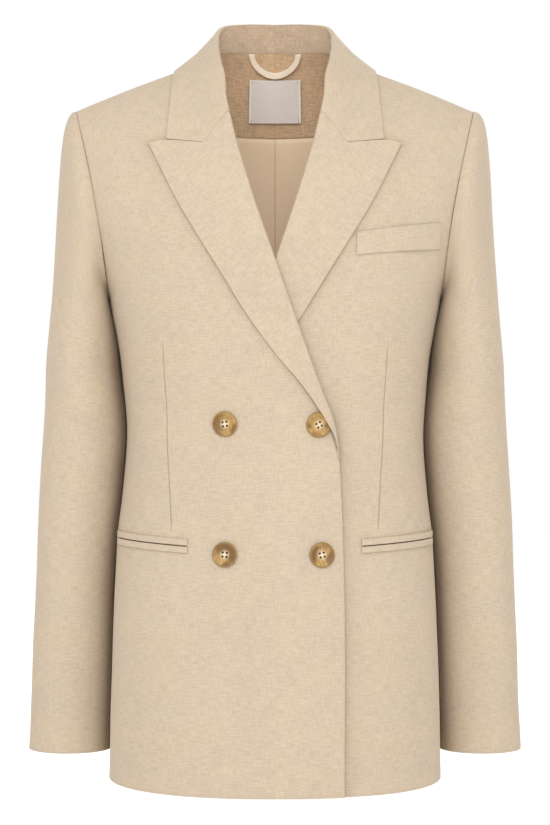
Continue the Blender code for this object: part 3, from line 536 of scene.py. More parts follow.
def collarFrame(w):
    foot = standFoot(w)
    fold = keptClear(stationLine("fold", w), np.full(len(w), roll["radius"] - cloth["wall"]))
    leaf = stationLine("leaf", w)
    down = unit(unit(foot - fold) + unit(leaf - fold))
    out = outward(fold)
    out = unit(out - down * np.sum(out * down, axis=1)[:, None])
    return foot, fold, leaf, down, out, fold + down * collarCut["foldRadius"]


def collarHalf(u, w):
    step = u * collarSteps["all"]
    rise = np.clip(step / collarSteps["stand"], 0, 1)[:, None]
    turn = (np.clip((step - collarSteps["stand"]) / collarSteps["fold"], 0, 1) * math.pi)[:, None]
    q = np.clip((step - collarSteps["stand"] - collarSteps["fold"]) / lapelSteps["leaf"], 0, 1)
    foot, fold, leaf, down, out, hub = collarFrame(w)
    stand = foot + (hub - out * collarCut["foldRadius"] - foot) * rise
    bend = hub - (out * np.cos(turn) + down * np.sin(turn)) * collarCut["foldRadius"]
    atFront = ease(w, *collarCut["rolled"])[:, None]
    rolled = lapelRoll(edgeOut(fold[:, 2]), fold[:, 2], rise[:, 0], turn[:, 0])
    stand = stand + (rolled - stand) * atFront
    bend = bend + (rolled - bend) * atFront
    crest = hub + out * collarCut["foldRadius"]
    fall = crest + (leaf - crest) * q[:, None]
    _, _, lastLeaf, _, lastOut, lastHub = collarFrame(np.ones(1))
    lastCrest = lastHub + lastOut * collarCut["foldRadius"]
    straightEnd = lastCrest + (lastLeaf - lastCrest) * q[:, None]
    flatEnd = outline(collarEnd, q)
    flatEnd[:, 0] += gorgeSetIn(q, roll["radius"])
    end = onFront(flatEnd, leafHeight(q, roll["radius"]), 0.0)
    fall = fall + (end - straightEnd) * (w ** collarCut["endPower"])[:, None]
    fall = keptClear(fall, leafHeight(q, roll["radius"]))
    inStand = (step <= collarSteps["stand"])[:, None]
    inFold = (step <= collarSteps["stand"] + collarSteps["fold"])[:, None]
    return np.where(inStand, stand, np.where(inFold, bend, fall))


def collarSkin(u, v):
    w = v * 2 - 1
    points = collarHalf(u, np.abs(w))
    points[:, 0] *= np.where(w < 0, -1, 1)
    return points


def armholeRing(angle):
    middle = (body["shoulderZ"] + body["underarm"]) / 2
    half = (body["shoulderZ"] - body["underarm"]) / 2
    z = middle + half * np.cos(angle)
    side = np.where(np.sin(angle) > 0, -1, 1)
    y = -np.sin(angle) * bySide(armhole["depth"], side)
    return np.stack([armholeOut(z) + seam["shut"], y, z], axis=1)


def sleeveRing(angle, height):
    inner, outer, middleY, halfDepth = (
        read(sleeveSections, "height", name, height) for name in ("inner", "outer", "middleY", "halfDepth")
    )
    x = (inner + outer) / 2 + (outer - inner) / 2 * np.cos(angle)
    return np.stack([x, middleY - halfDepth * np.sin(angle), height], axis=1)


headShare = sleeveCut["headRows"] / (sleeveCut["headRows"] + sleeveCut["armRows"])


def sleevePoints(angle, v):
    cuff = sleeveSections["height"][0]
    biceps = sleeveSections["height"][-1]
    start = armholeRing(angle)
    end = sleeveRing(angle, np.full_like(angle, biceps))
    high = ((1 + np.cos(angle)) / 2)[:, None]
    sideways = np.sin(angle)[:, None]
    leaveX = sleeveCut["underarmStand"] + sleeveCut["headStand"] * high + armhole["hollow"] * sideways**2
    leaveZ = sleeveCut["headRise"] * high - sleeveCut["underarmStand"] * (1 - high)
    leave = np.concatenate([leaveX, -sleeveCut["headForward"] * sideways, leaveZ], axis=1)
    arriveX = -sleeveCut["headLean"] * sleeveCut["headStand"] * high
    arrive = np.concatenate([arriveX, 0 * high, sleeveCut["headDrop"] * (start - end)[:, 2:3]], axis=1)
    t = np.clip(v / headShare, 0, 1)[:, None]
    t = t * (sleeveCut["headEase"] + (1 - sleeveCut["headEase"]) * t)
    head = (
        start * (1 - t) ** 3
        + (start + leave) * 3 * t * (1 - t) ** 2
        + (end + arrive) * 3 * t**2 * (1 - t)
        + end * t**3
    )
    down = np.clip((v - headShare) / (1 - headShare), 0, 1)
    arm = sleeveRing(angle, biceps + (cuff - biceps) * down)
    return np.where((v <= headShare)[:, None], head, arm)


def sleeveSkin(firstAngle, lastAngle):
    def skin(u, v):
        return sleevePoints(firstAngle + (lastAngle - firstAngle) * u, v)

    return skin


def weltSkin(u, v):
    low, high = (np.array(edge) for edge in welt["corners"])
    u = u[:, None]
    v = v[:, None]
    flat = (low[0] + (low[1] - low[0]) * u) * (1 - v) + (high[0] + (high[1] - high[0]) * u) * v
    return onFront(flat, np.full(len(flat), cloth["wall"] + seam["gap"]), 1.0)


def slitHeight(out):
    return jet["height"] + jet["rise"] * (out - jet["inner"]) / (jet["outer"] - jet["inner"])


def jetSkin(isUpper, isUnder):
    def skin(u, v):
        out = jet["inner"] + (jet["outer"] - jet["inner"]) * np.sin(u * math.pi / 2)
        first = jet["slit"] / 2 if isUpper else -jet["slit"] / 2 - jet["width"]
        flat = np.stack([out, slitHeight(out) + first + jet["width"] * v], axis=1)
        return onFront(flat, np.full(len(u), cloth["wall"] + seam["gap"]), isUnder)

    return skin


# Laying cloth: a grid over a skin, a wall behind it and a rounded edge all round.
detail = 1.0
sides = (("right", True, 0.0), ("left", False, 1.0))  # name, is mirrored, is under the other front


def steps(count):
    return max(2, int(round(count * detail)))


def even(count):
    return np.linspace(0, 1, count)


def spread(count, knots):
    # count steps between each two knots in turn, ends included once
    parts = [np.linspace(a, b, n, endpoint=False) for a, b, n in zip(knots[:-1], knots[1:], count)]
    return np.concatenate(parts + [[knots[-1]]])


def layGrid(skin, us, vs):
    u, v = np.broadcast_arrays(np.asarray(us, float), np.asarray(vs, float)[:, None])
    return skin(u.ravel().copy(), v.ravel().copy()).reshape(*u.shape, 3)


def gridNormals(points, isFlipped):
    normals = np.cross(np.gradient(points, axis=1), np.gradient(points, axis=0))
    normals /= np.maximum(np.linalg.norm(normals, axis=2), 1e-12)[..., None]
    return -normals if isFlipped else normals


def lengths(points, axis):
    step = np.linalg.norm(np.diff(points, axis=axis), axis=2)
    padding = [(1, 0), (0, 0)] if axis == 0 else [(0, 0), (1, 0)]
    return np.pad(np.cumsum(step, axis=axis), padding)


def grainOf(points, fromLast=False):
    # weft and warp in metres: across from the first column's straight grain, up from the first or last row
    across = lengths(points, 1) + points[:, :1, 0]
    up = lengths(points, 0)
    return np.stack([across, up - up[-1:] if fromLast else up], axis=2)


def flatGrain(points, turn):
    # for a nearly flat piece, its own plane turned to its grain
    c, s = math.cos(turn), math.sin(turn)
    x, z = points[..., 0], points[..., 2]
    return np.stack([x * c - z * s, x * s + z * c], axis=2)


def toward(a, b):
    way = a - b
    return way / np.maximum(np.linalg.norm(way, axis=-1), 1e-12)[..., None]


def paint(mesh, layerName, values):
    # values at the vertices, as a UV map
    layer = mesh.uv_layers.new(name=layerName)
    corners = np.zeros(len(mesh.loops), int)
    mesh.loops.foreach_get("vertex_index", corners)
    layer.data.foreach_set("uv", values[corners].ravel())


def newMesh(name, places, faces, isSmooth=True, **paints):
    mesh = bpy.data.meshes.new(name)
    mesh.from_pydata(np.asarray(places).tolist(), [], faces)
    if isSmooth:
        mesh.shade_smooth()
    for layerName, values in paints.items():
        paint(mesh, layerName, values)
    return mesh


def newPiece(name, mesh):
    piece = bpy.data.objects.new(name, mesh)
    bpy.context.scene.collection.objects.link(piece)
    return piece


def layCloth(name, points, grain, wall, edge, isFlipped, isLined):
    rows, columns = points.shape[:2]
    normals = gridNormals(points, isFlipped)
    away = np.zeros_like(points)
    awayGrain = np.zeros_like(grain)
    for at, beside, axis, way in (
        (np.s_[:, 0], np.s_[:, 1], 0, -1), (np.s_[:, -1], np.s_[:, -2], 0, 1), (0, 1, 1, -1), (-1, -2, 1, 1),
    ):
        away[at] += toward(points[at], points[beside])
        awayGrain[at][..., axis] += way
    outer = points - away * edge
    index = np.arange(rows * columns).reshape(rows, columns)
    ring = np.concatenate([index[0, :-1], index[:-1, -1], index[-1, :0:-1], index[:0:-1, 0]])
    turns = 4
    places = [outer.reshape(-1, 3), (outer - normals * wall).reshape(-1, 3)]
    grains = [grain.reshape(-1, 2), grain.reshape(-1, 2)]
    ringOuter, ringNormals, ringAway = (a.reshape(-1, 3)[ring] for a in (outer, normals, away))
    for k in range(1, turns):
        angle = math.pi * k / turns
        middle = ringOuter - ringNormals * wall / 2
        places.append(middle + ringNormals * math.cos(angle) * wall / 2 + ringAway * math.sin(angle) * edge)
        grains.append(grain.reshape(-1, 2)[ring] + awayGrain.reshape(-1, 2)[ring] * cloth["edgeRound"] * k)
    count = rows * columns
    quads = np.stack([index[:-1, :-1], index[:-1, 1:], index[1:, 1:], index[1:, :-1]], axis=2).reshape(-1, 4)
    faces = [quads, quads[:, ::-1] + count]
    between = [2 * count + len(ring) * k + np.arange(len(ring)) for k in range(turns - 1)]
    loops = [ring, *between, ring + count]
    for first, second in zip(loops[:-1], loops[1:]):
        faces.append(np.stack([np.roll(first, -1), first, second, np.roll(second, -1)], axis=1))
    faces = np.concatenate(faces)
    if isFlipped:
        faces = faces[:, ::-1]
    mesh = newMesh(name, np.concatenate(places), faces.tolist(), grain=np.concatenate(grains))
    if isLined is not None:
        material = np.zeros(len(faces), int)
        material[len(quads):2 * len(quads)] = isLined
        mesh.polygons.foreach_set("material_index", material)
    return newPiece(name, mesh)


def dress(piece, materials, replaced=None):
    for material in materials:
        piece.data.materials.append(material)
    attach(piece, "root")
    if replaced:
        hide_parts(replaced)
    return piece


def laySheet(
    name, points, materials, replaced=None, isFlipped=False, isMirrored=False,
    grain=None, wall=cloth["wall"], edge=cloth["edgeRound"], shade=None, linedAt=None,
):
    # shade is the painted shade at each place of the outer skin, which darkens it towards the shade colour; linedAt
    # tells where the inside is lining
    grain = grainOf(points) if grain is None else grain
    isLined = linedAt(points[:-1, :-1].reshape(-1, 3)) if linedAt else None
    if isMirrored:
        points = points * (-1, 1, 1)
    piece = layCloth(name, points, grain, wall, edge, isFlipped != isMirrored, isLined)
    if shade is not None:
        everywhere = np.zeros(len(piece.data.vertices))
        everywhere[:shade.size] = shade.ravel()
        piece.data.attributes.new("paintedShade", "FLOAT", "POINT").data.foreach_set("value", everywhere)
    dress(piece, materials, replaced)
    return piece


def noise2d(a, b, size, seed):
    # a smooth random height from -1 to 1, the same at every run
    count = 64
    values = np.random.default_rng(seed).uniform(-1, 1, (count, count))
    a, b = a / size, b / size
    i, j = np.floor(a).astype(int), np.floor(b).astype(int)
    s, t = ease(a - i, 0, 1), ease(b - j, 0, 1)
    low = values[i % count, j % count] * (1 - s) + values[(i + 1) % count, j % count] * s
    high = values[i % count, (j + 1) % count] * (1 - s) + values[(i + 1) % count, (j + 1) % count] * s
    return low * (1 - t) + high * t


def dip(off, width):
    return np.exp(-((off / width) ** 2))


def crease(a, b, ends, width, height):
    # a soft ridge, or a trough where the height is below 0, that fades towards both ends
    (a0, b0), (a1, b1) = ends
    along = np.hypot(a1 - a0, b1 - b0)
    t = ((a - a0) * (a1 - a0) + (b - b0) * (b1 - b0)) / along**2
    off = ((a - a0) * (b1 - b0) - (b - b0) * (a1 - a0)) / along
    return height * dip(off, width) * dip(np.clip(np.abs(t - 0.5) - 0.25, 0, None), 0.22)


def folds(a, b, look, seed, side=None):
    # the random waves of a piece and its main creases
    start = look.get("rippleStart", 0)
    relief = look["ripple"] * noise2d(a + start, b + start, look["rippleSize"], seed)
    for ends, width, height in look["creases"][side] if side else look["creases"]:
        relief = relief + crease(a, b, ends, width, height)
    return relief


def rumple(points, heights, isFlipped=False):
    return points + gridNormals(points, isFlipped) * heights[..., None]


def tubeFaces(index):
    # the walls of tubes: index holds their rings' vertices in its last two axes
    ahead = np.roll(index, -1, axis=-1)
    walls = [index[..., :-1, :], ahead[..., :-1, :], ahead[..., 1:, :], index[..., 1:, :]]
    return np.stack(walls, axis=-1).reshape(-1, 4)


def sewStitches(name, starts, ends, ups, radius):
    # short stitches, each a bent thread that dips into the cloth at both ends
    t = np.linspace(0, 1, 7)
    around = np.linspace(0, 2 * math.pi, 6, endpoint=False)
    arch = (np.sqrt(np.sin(math.pi * t)) * 1.5 - 0.7) * radius
    middle = starts[:, None] + (ends - starts)[:, None] * t[:, None] + ups[:, None] * arch[:, None]
    aside = np.cross(unit(ends - starts), ups)
    thick = radius * (0.6 + 0.4 * np.sin(math.pi * t))
    circle = np.cos(around)[:, None], np.sin(around)[:, None]
    ring = aside[:, None, None] * circle[0] + ups[:, None, None] * circle[1]
    places = (middle[:, :, None] + ring * thick[None, :, None, None]).reshape(-1, 3)
    index = np.arange(len(places)).reshape(len(starts), len(t), len(around))
    caps = index[:, 0, ::-1].tolist() + index[:, -1].tolist()
    return newPiece(name, newMesh(name, places, tubeFaces(index).tolist() + caps, grain=places[:, ::2]))


# Cloth effects, shared by the materials in a node group.
weaveLook = {
    # how the streaks of each are stretched, their detail and roughness, and their share in the tone
    "tones": {
        "weft": ((95, 850, 1), 3.0, 0.55, 0.46), "warp": ((850, 105, 1), 3.0, 0.55, 0.36),
        "fleck": ((520, 520, 1), 2.0, 0.6, 0.20), "cloud": ((60, 60, 1), 2.0, 0.5, 0.10),
        "drift": ((14, 9, 1), 2.0, 0.5, 0.08),
    },
    "pale": (0.42, 0.78), "tint": ((22, 30, 1), 2.0, 0.5), "tintRange": (0.36, 0.64), "over": 0.25,
}


def node(tree, kind, links=(), **settings):
    # links: input socket (name or number) and either a value or another node's output
    made = tree.nodes.new(kind)
    for key, value in settings.items():
        setattr(made, key, value)
    for socket, value in links:
        if isinstance(value, bpy.types.NodeSocket):
            tree.links.new(value, made.inputs[socket])
        else:
            made.inputs[socket].default_value = value
    return made


def maths(tree, operation, *values):
    return node(tree, "ShaderNodeMath", list(enumerate(values)), operation=operation).outputs[0]


def streaks(tree, vector, scale, detail, roughness):
    stretched = node(tree, "ShaderNodeMapping", [("Vector", vector), ("Scale", scale)])
    return node(
        tree, "ShaderNodeTexNoise",
        [("Vector", stretched.outputs[0]), ("Scale", 1.0), ("Detail", detail), ("Roughness", roughness)],
        noise_dimensions="2D",
    ).outputs["Fac"]


def mixColour(tree, factor, first, second, blend="MIX"):
    links = [(0, factor), (6, first), (7, second)]
    return node(tree, "ShaderNodeMix", links, data_type="RGBA", blend_type=blend).outputs[2]


def ramp(tree, value, low, high):
    links = [("Value", value), ("From Min", low), ("From Max", high)]
    return node(tree, "ShaderNodeMapRange", links, interpolation_type="SMOOTHSTEP").outputs[0]


def plainWeaveGroup():
    # slubby yarns in both directions: a colour and a height
    group = bpy.data.node_groups.new("slubby plain weave", "ShaderNodeTree")
    for name, kind in (
        ("Grain", "Vector"), ("Light", "Color"), ("Dark", "Color"), ("Cool", "Color"),
        ("Yarns per metre", "Float"), ("Slub", "Float"),
    ):
        group.interface.new_socket(name, in_out="INPUT", socket_type=f"NodeSocket{kind}")
    for name, kind in (("Colour", "Color"), ("Height", "Float")):
        group.interface.new_socket(name, in_out="OUTPUT", socket_type=f"NodeSocket{kind}")
    start = group.nodes.new("NodeGroupInput").outputs
    end = group.nodes.new("NodeGroupOutput").inputs
    made, tone = {}, 0.0
    for name, (scale, detail, roughness, share) in weaveLook["tones"].items():
        made[name] = streaks(group, start["Grain"], scale, detail, roughness)
        tone = maths(group, "ADD", tone, maths(group, "MULTIPLY", made[name], share))
    worn = mixColour(group, ramp(group, tone, *weaveLook["pale"]), start["Dark"], start["Light"])
    patches = ramp(group, streaks(group, start["Grain"], *weaveLook["tint"]), *weaveLook["tintRange"])
    tint = mixColour(group, patches, start["Cool"], (1, 1, 1, 1))
    group.links.new(mixColour(group, 1.0, worn, tint, "MULTIPLY"), end["Colour"])
    waves = maths(group, "MULTIPLY", start["Yarns per metre"], math.pi)
    scaled = node(group, "ShaderNodeVectorMath", [(0, start["Grain"]), ("Scale", waves)], operation="SCALE")
    parts = node(group, "ShaderNodeSeparateXYZ", [(0, scaled.outputs[0])]).outputs
    over = maths(group, "MULTIPLY", maths(group, "SINE", parts[0]), maths(group, "SINE", parts[1]))
    slub = maths(group, "MULTIPLY", maths(group, "ADD", made["weft"], made["warp"]), start["Slub"])
    height = maths(group, "ADD", maths(group, "MULTIPLY", over, weaveLook["over"]), slub)
    group.links.new(height, end["Height"])
    return group


weave = plainWeaveGroup()
# The shade colour of each finish is the dark brown that painted shade mixes in; for satins it is a share of their own
# colour.
suitingFinish = {
    "light": (0.490, 0.399, 0.293), "dark": (0.412, 0.328, 0.234), "cool": (0.975, 0.985, 1.02),
    "shadeColour": (0.150, 0.072, 0.024), "yarns": 1400.0, "slub": 1.0, "bump": 0.25, "bumpDepth": 0.0003,
    "roughness": 0.95, "sheen": 0.17, "sheenTint": (1.0, 0.87, 0.74), "sheenRoughness": 0.5,
    "specular": 0.1,
}
satinFinish = {
    "cool": (1, 1, 1), "yarns": 2600.0, "slub": 0.15, "bump": 0.15, "bumpDepth": 0.0002,
    "sheen": 0.2, "sheenTint": (1, 1, 1), "sheenRoughness": 0.5, "specular": 0.5, "shadeShare": 0.3,
}


def suitingLook(tint=(1, 1, 1), contrast=0.0):
    light, dark = (np.array(suitingFinish[tone]) * tint for tone in ("light", "dark"))
    return suitingFinish | {"light": light * (1 + contrast), "dark": dark * (1 - contrast)}


def satinLook(colour, shade, roughness):
    colour = np.array(colour)
    shadeColour = colour * satinFinish["shadeShare"]
    return satinFinish | {"light": colour, "dark": colour * shade, "shadeColour": shadeColour, "roughness": roughness}


def newMaterial(name):
    material = bpy.data.materials.new(name)
    material.use_nodes = True
    return material, material.node_tree, material.node_tree.nodes["Principled BSDF"]


def clothMaterial(name, look):
    material, tree, shader = newMaterial(name)
    grain = node(tree, "ShaderNodeUVMap", uv_map="grain").outputs[0]
    links = [("Grain", grain), ("Yarns per metre", look["yarns"]), ("Slub", look["slub"])]
    links += [(socket, (*look[socket.lower()], 1)) for socket in ("Light", "Dark", "Cool")]
    woven = node(tree, "ShaderNodeGroup", links, node_tree=weave).outputs
    # painted shade: a point attribute darkens the woven colour towards the shade colour
    seamAndPaintedShade = node(tree, "ShaderNodeAttribute", attribute_name="paintedShade").outputs["Fac"]
    colour = mixColour(tree, seamAndPaintedShade, woven["Colour"], (*look["shadeColour"], 1))
    tree.links.new(colour, shader.inputs["Base Color"])
    relief = [("Strength", look["bump"]), ("Distance", look["bumpDepth"]), ("Height", woven["Height"])]
    tree.links.new(node(tree, "ShaderNodeBump", relief).outputs[0], shader.inputs["Normal"])
    shader.inputs["Roughness"].default_value = look["roughness"]
    shader.inputs["Sheen Weight"].default_value = look["sheen"]
    shader.inputs["Sheen Roughness"].default_value = look["sheenRoughness"]
    shader.inputs["Sheen Tint"].default_value = (*look["sheenTint"], 1)
    shader.inputs["Specular IOR Level"].default_value = look["specular"]
    return material


suiting = clothMaterial("oatmeal suiting", suitingLook())
# The stand and the facing are the outer suiting, warmer: the stand darker as painted shade, the facing brighter as
# painted light.
standSuitingShaded = clothMaterial("oatmeal suiting of the stand, with painted shade", suitingLook((0.84, 0.765, 0.71), 0.10))
facingSuitingLit = clothMaterial("oatmeal suiting of the facing, with painted light", suitingLook((1.31, 1.14, 0.985), 0.11))
liningSatin = clothMaterial("tan lining satin", satinLook((0.90, 0.71, 0.49), 0.95, 0.42))
labelSatin = clothMaterial("grey label satin", satinLook((0.76, 0.70, 0.65), 0.95, 0.40))
foldSatin = clothMaterial("folded label edge", satinLook((0.86, 0.82, 0.76), 0.96, 0.40))
labelThread = clothMaterial("label thread", satinLook((0.10, 0.075, 0.055), 0.8, 0.7))
loopTape = clothMaterial("cream tape", satinLook((0.93, 0.80, 0.64), 0.95, 0.65))
pocketingInShade = clothMaterial("pocketing with painted shade", satinLook((0.10, 0.062, 0.034), 0.7, 0.8))
threadInShade = clothMaterial("sewing thread with painted shade", satinLook((0.035, 0.022, 0.013), 0.7, 0.8))
print("cloth finishes made")

# Fronts
frontLook = {
    "rows": (66, 12, 84), "columns": (46, 36), "probe": 60, "seed": 11, "ripple": 0.0005, "rippleSize": 0.050,
    "nearDart": np.array([-4, -2.2, -1.1, -0.6, -0.3, 0, 0.3, 0.6, 1.1, 2.2, 4]) * 0.001,
    "dartTop": (0.1080, -0.2727), "dartFoot": (0.0984, -0.4611), "dartDepth": 0.0010, "dartWidth": 0.00042,
    "dartShade": 0.40, "dartEnds": (0.04, 0.90), "facingWidth": 0.085, "hemWidth": 0.028,
    "calmEdge": (0.006, 0.030), "calmHem": (-0.706, -0.690),
    "edgeRidge": 0.0007, "edgeRidgeWidth": 0.0019, "edgeRidgeOff": 0.0024, "edgeTop": (-0.400, -0.380),
    "lapelShade": 0.22, "lapelShadeReach": 0.0034, "lapShade": 0.20, "lapShadeReach": 0.0085, "lapTop": (-0.36, -0.33),
    "creases": [  # ends, width and height
        (((0.150, -0.215), (0.110, -0.150)), 0.012, -0.0012),
        (((0.158, -0.250), (0.120, -0.215)), 0.010, 0.0010),
        (((0.145, -0.330), (0.060, -0.350)), 0.016, -0.0009),
        (((0.140, -0.385), (0.050, -0.372)), 0.014, 0.0008),
        (((0.120, -0.520), (0.105, -0.690)), 0.022, 0.0016),
        (((0.040, -0.540), (0.030, -0.700)), 0.026, -0.0012),
    ],
}


def dartOut(height):
    (topOut, top), (footOut, foot) = frontLook["dartTop"], frontLook["dartFoot"]
    return topOut + (footOut - topOut) * (top - height) / (top - foot)


def dartValley(points):
    foot, top = frontLook["dartFoot"][1], frontLook["dartTop"][1]
    along = (points[..., 2] - foot) / (top - foot)
    footEnd, topEnd = frontLook["dartEnds"]
    valley = dip(points[..., 0] - dartOut(points[..., 2]), frontLook["dartWidth"])
    return valley * ease(along, 0.0, footEnd) * (1 - ease(along, topEnd, 1.0))


def frontGrid(skin):
    # columns gather round the dart, so that its seam is a real valley
    low, broken, high = frontLook["rows"]
    knots = np.array([0, shares["hem"], shares["hem"] + shares["break"], shares["all"]]) / shares["all"]
    vs = spread((steps(low), broken, steps(high) - 1), knots)
    probe = even(frontLook["probe"])
    edgeColumns, sideColumns = frontLook["columns"]
    rows = []
    for v in vs:
        row = skin(probe.copy(), np.full(len(probe), v))
        middle = float(np.interp(0, row[:, 0] - dartOut(row[:, 2]), probe))
        slope = np.interp(middle, probe, np.gradient(row[:, 0], probe))
        close = middle + frontLook["nearDart"] / slope
        before = np.linspace(0, close[0], steps(edgeColumns), endpoint=False)
        rows.append(np.concatenate([before, close, np.linspace(close[-1], 1, steps(sideColumns) + 1)[1:]]))
    return np.array(rows), vs


def frontRelief(points, seed):
    relief = folds(points[..., 0], points[..., 2], frontLook, seed) - frontLook["dartDepth"] * dartValley(points)
    calm = ease(points[..., 0] - edgeOut(points[..., 2]), *frontLook["calmEdge"])
    return relief * ease(points[..., 2], *frontLook["calmHem"]) * calm  # still where it meets other pieces


def edgeRidge(points):
    # the pressed edge of the upper front, where its turned-in cloth lies double
    off = points[..., 0] - edgeOut(points[..., 2]) - frontLook["edgeRidgeOff"]
    ridge = frontLook["edgeRidge"] * dip(off, frontLook["edgeRidgeWidth"])
    return ridge * (1 - ease(points[..., 2], *frontLook["edgeTop"]))


def frontShade(points, isUnder):
    # painted shade: darker in the dart, close to the lapel's edge and, on the lower front, close to the lap
    border = np.concatenate([lapelEdge(np.linspace(0, 1, 90)), outline(lapelTop, np.linspace(1, 0.5, 20))])
    flat = points[..., ::2].reshape(-1, 2)
    near = np.min(np.hypot(*(flat[:, None] - border[None]).transpose(2, 0, 1)), axis=1).reshape(points.shape[:2])
    beside = frontLook["lapelShade"] * np.exp(-near / frontLook["lapelShadeReach"])
    off = np.clip(points[..., 0] + edgeOut(points[..., 2]), 0, None)
    lap = frontLook["lapShade"] * np.exp(-off / frontLook["lapShadeReach"])
    lap = lap * (1 - ease(points[..., 2], *frontLook["lapTop"]))
    return np.maximum(frontLook["dartShade"] * dartValley(points), np.maximum(beside, lap * isUnder))


def isFrontLined(middles):
    isBeyond = middles[:, 0] - edgeOut(middles[:, 2]) > frontLook["facingWidth"]
    return isBeyond & (middles[:, 2] > body["hem"] + frontLook["hemWidth"])


for side, isRight, isUnder in sides:
    skin = frontSkin(isUnder)
    points = layGrid(skin, *frontGrid(skin))
    relief = frontRelief(points, frontLook["seed"] + isRight) + edgeRidge(points) * (1 - isUnder)
    laySheet(
        f"frontPanel_{side}", rumple(points, relief), [suiting, liningSatin], f"front_{side}",
        isMirrored=isRight, grain=grainOf(points), shade=frontShade(points, isUnder), linedAt=isFrontLined,
    )
print("fronts laid")

# Lapels
lapelLook = {
    "rows": (24, 110, 7), "foot": 0.12, "columns": (3, 16, 44),
    "grainTurn": math.radians(32), "grainOff": (0.37, 0.11),
}
leadColumns, rollColumns, leafColumns = lapelLook["columns"]
footRows, midRows, topRows = lapelLook["rows"]
for side, isRight, isUnder in sides:
    knots = np.array([0, lapelSteps["lead"], lapelSteps["roll"], lapelSteps["all"]]) / lapelSteps["all"]
    us = spread((leadColumns, steps(rollColumns), steps(leafColumns)), knots)
    vs = spread((steps(footRows), steps(midRows), topRows), [0, lapelLook["foot"], roll["tuckRows"], 1])
    points = layGrid(lapelSkin(isUnder), us, vs)
    laySheet(
        f"peakLapel_{side}", points, [suiting], f"lapel_{side}", isMirrored=isRight,
        grain=flatGrain(points, lapelLook["grainTurn"]) + lapelLook["grainOff"],
    )
print("lapels laid")

# Collar
seamLook = {"columns": 6, "width": 0.0004, "liningWidth": 0.00032}
collarLook = {
    "rows": 100, "columns": (12, 14, 40), "seamDepth": 0.0002, "paintedShade": 0.12, "nearSeam": 0.0035, "standTop": 0.06,
}


def bothSides(count, near):
    # from 0 to 1, close together near the middle
    return spread((count, seamLook["columns"], seamLook["columns"], count), [0, 0.5 - near, 0.5, 0.5 + near, 1])


knots = np.array([0, collarSteps["stand"], collarSteps["stand"] + collarSteps["fold"], collarSteps["all"]])
us = spread([steps(count) for count in collarLook["columns"]], knots / collarSteps["all"])
points = layGrid(collarSkin, us, bothSides(steps(collarLook["rows"]), collarLook["nearSeam"]))
# the middle seam is a real valley with painted shade in it
seamAndPaintedShade = dip(points[..., 0], seamLook["width"])
points = rumple(points, -collarLook["seamDepth"] * seamAndPaintedShade, True)
along = lengths(points, 0)
piece = laySheet(
    "turnedCollar", points, [suiting, standSuitingShaded], "collar", True,
    grain=np.stack([along - along[len(along) // 2], lengths(points, 1)], axis=2),
    shade=collarLook["paintedShade"] * seamAndPaintedShade,
)
isStand = us[:-1] < collarSteps["stand"] / collarSteps["all"] + collarLook["standTop"]
index = np.zeros(len(piece.data.polygons), int)
index[:isStand.size * (len(points) - 1)] = np.tile(isStand, len(points) - 1)
piece.data.polygons.foreach_set("material_index", index)
print("collar laid")

# Backs
backLook = {
    "columns": 84, "rows": 150, "seed": 31, "ripple": 0.0006, "rippleSize": 0.055,
    "calmSeam": (0.001, 0.02), "calmHem": (-0.706, -0.69), "calmNeck": (-0.05, -0.01),
    "creases": [
        (((0.150, -0.330), (0.030, -0.352)), 0.014, -0.0012),
        (((0.130, -0.372), (0.020, -0.366)), 0.012, 0.0010),
        (((0.155, -0.215), (0.110, -0.130)), 0.013, -0.0014),
        (((0.100, -0.480), (0.090, -0.690)), 0.024, 0.0016),
    ],
}
for side, isRight, isUnder in sides:
    points = layGrid(backSkin, even(steps(backLook["columns"])), even(steps(backLook["rows"])))
    out, height = points[..., 0], points[..., 2]
    calm = ease(out, *backLook["calmSeam"]) * ease(height, *backLook["calmHem"])
    calm = calm * (1 - ease(height, *backLook["calmNeck"]))
    relief = folds(out, height, backLook, backLook["seed"] + isRight) * calm
    laySheet(
        f"backPanel_{side}", rumple(points, relief, True), [suiting], f"back_{side}", True, isRight,
        grain=grainOf(points),
    )
print("backs laid")

# Inside the back
liningLook = {"columns": 50, "rows": 90, "paintedShade": 0.28, "nearSeam": 0.014, "lowShare": 0.75, "edge": 0.0002}
facingLook = {"columns": 60, "rows": 40, "paintedShade": 0.13}
inside = -(cloth["wall"] + lining["gap"])
liningSkin = backBand(liningFoot, liningTop, inside, lowShare=liningLook["lowShare"])
for side, isRight, isUnder in sides:
    us = spread((seamLook["columns"], steps(liningLook["columns"])), [0, liningLook["nearSeam"], 1])
    points = layGrid(liningSkin, us, even(steps(liningLook["rows"])))
    # painted shade along the lining's middle seam
    shade = liningLook["paintedShade"] * dip(points[..., 0], seamLook["liningWidth"])
    laySheet(
        f"backLining_{side}", points, [liningSatin], f"back_lining_{side}", True, isRight,
        wall=lining["wall"], edge=liningLook["edge"], shade=np.stack([shade, shade]),
    )
us = bothSides(steps(facingLook["columns"]), liningLook["nearSeam"] / 2)
points = layGrid(backBand(facingFoot, facingTop, inside, first=-1.0), us, even(steps(facingLook["rows"])))
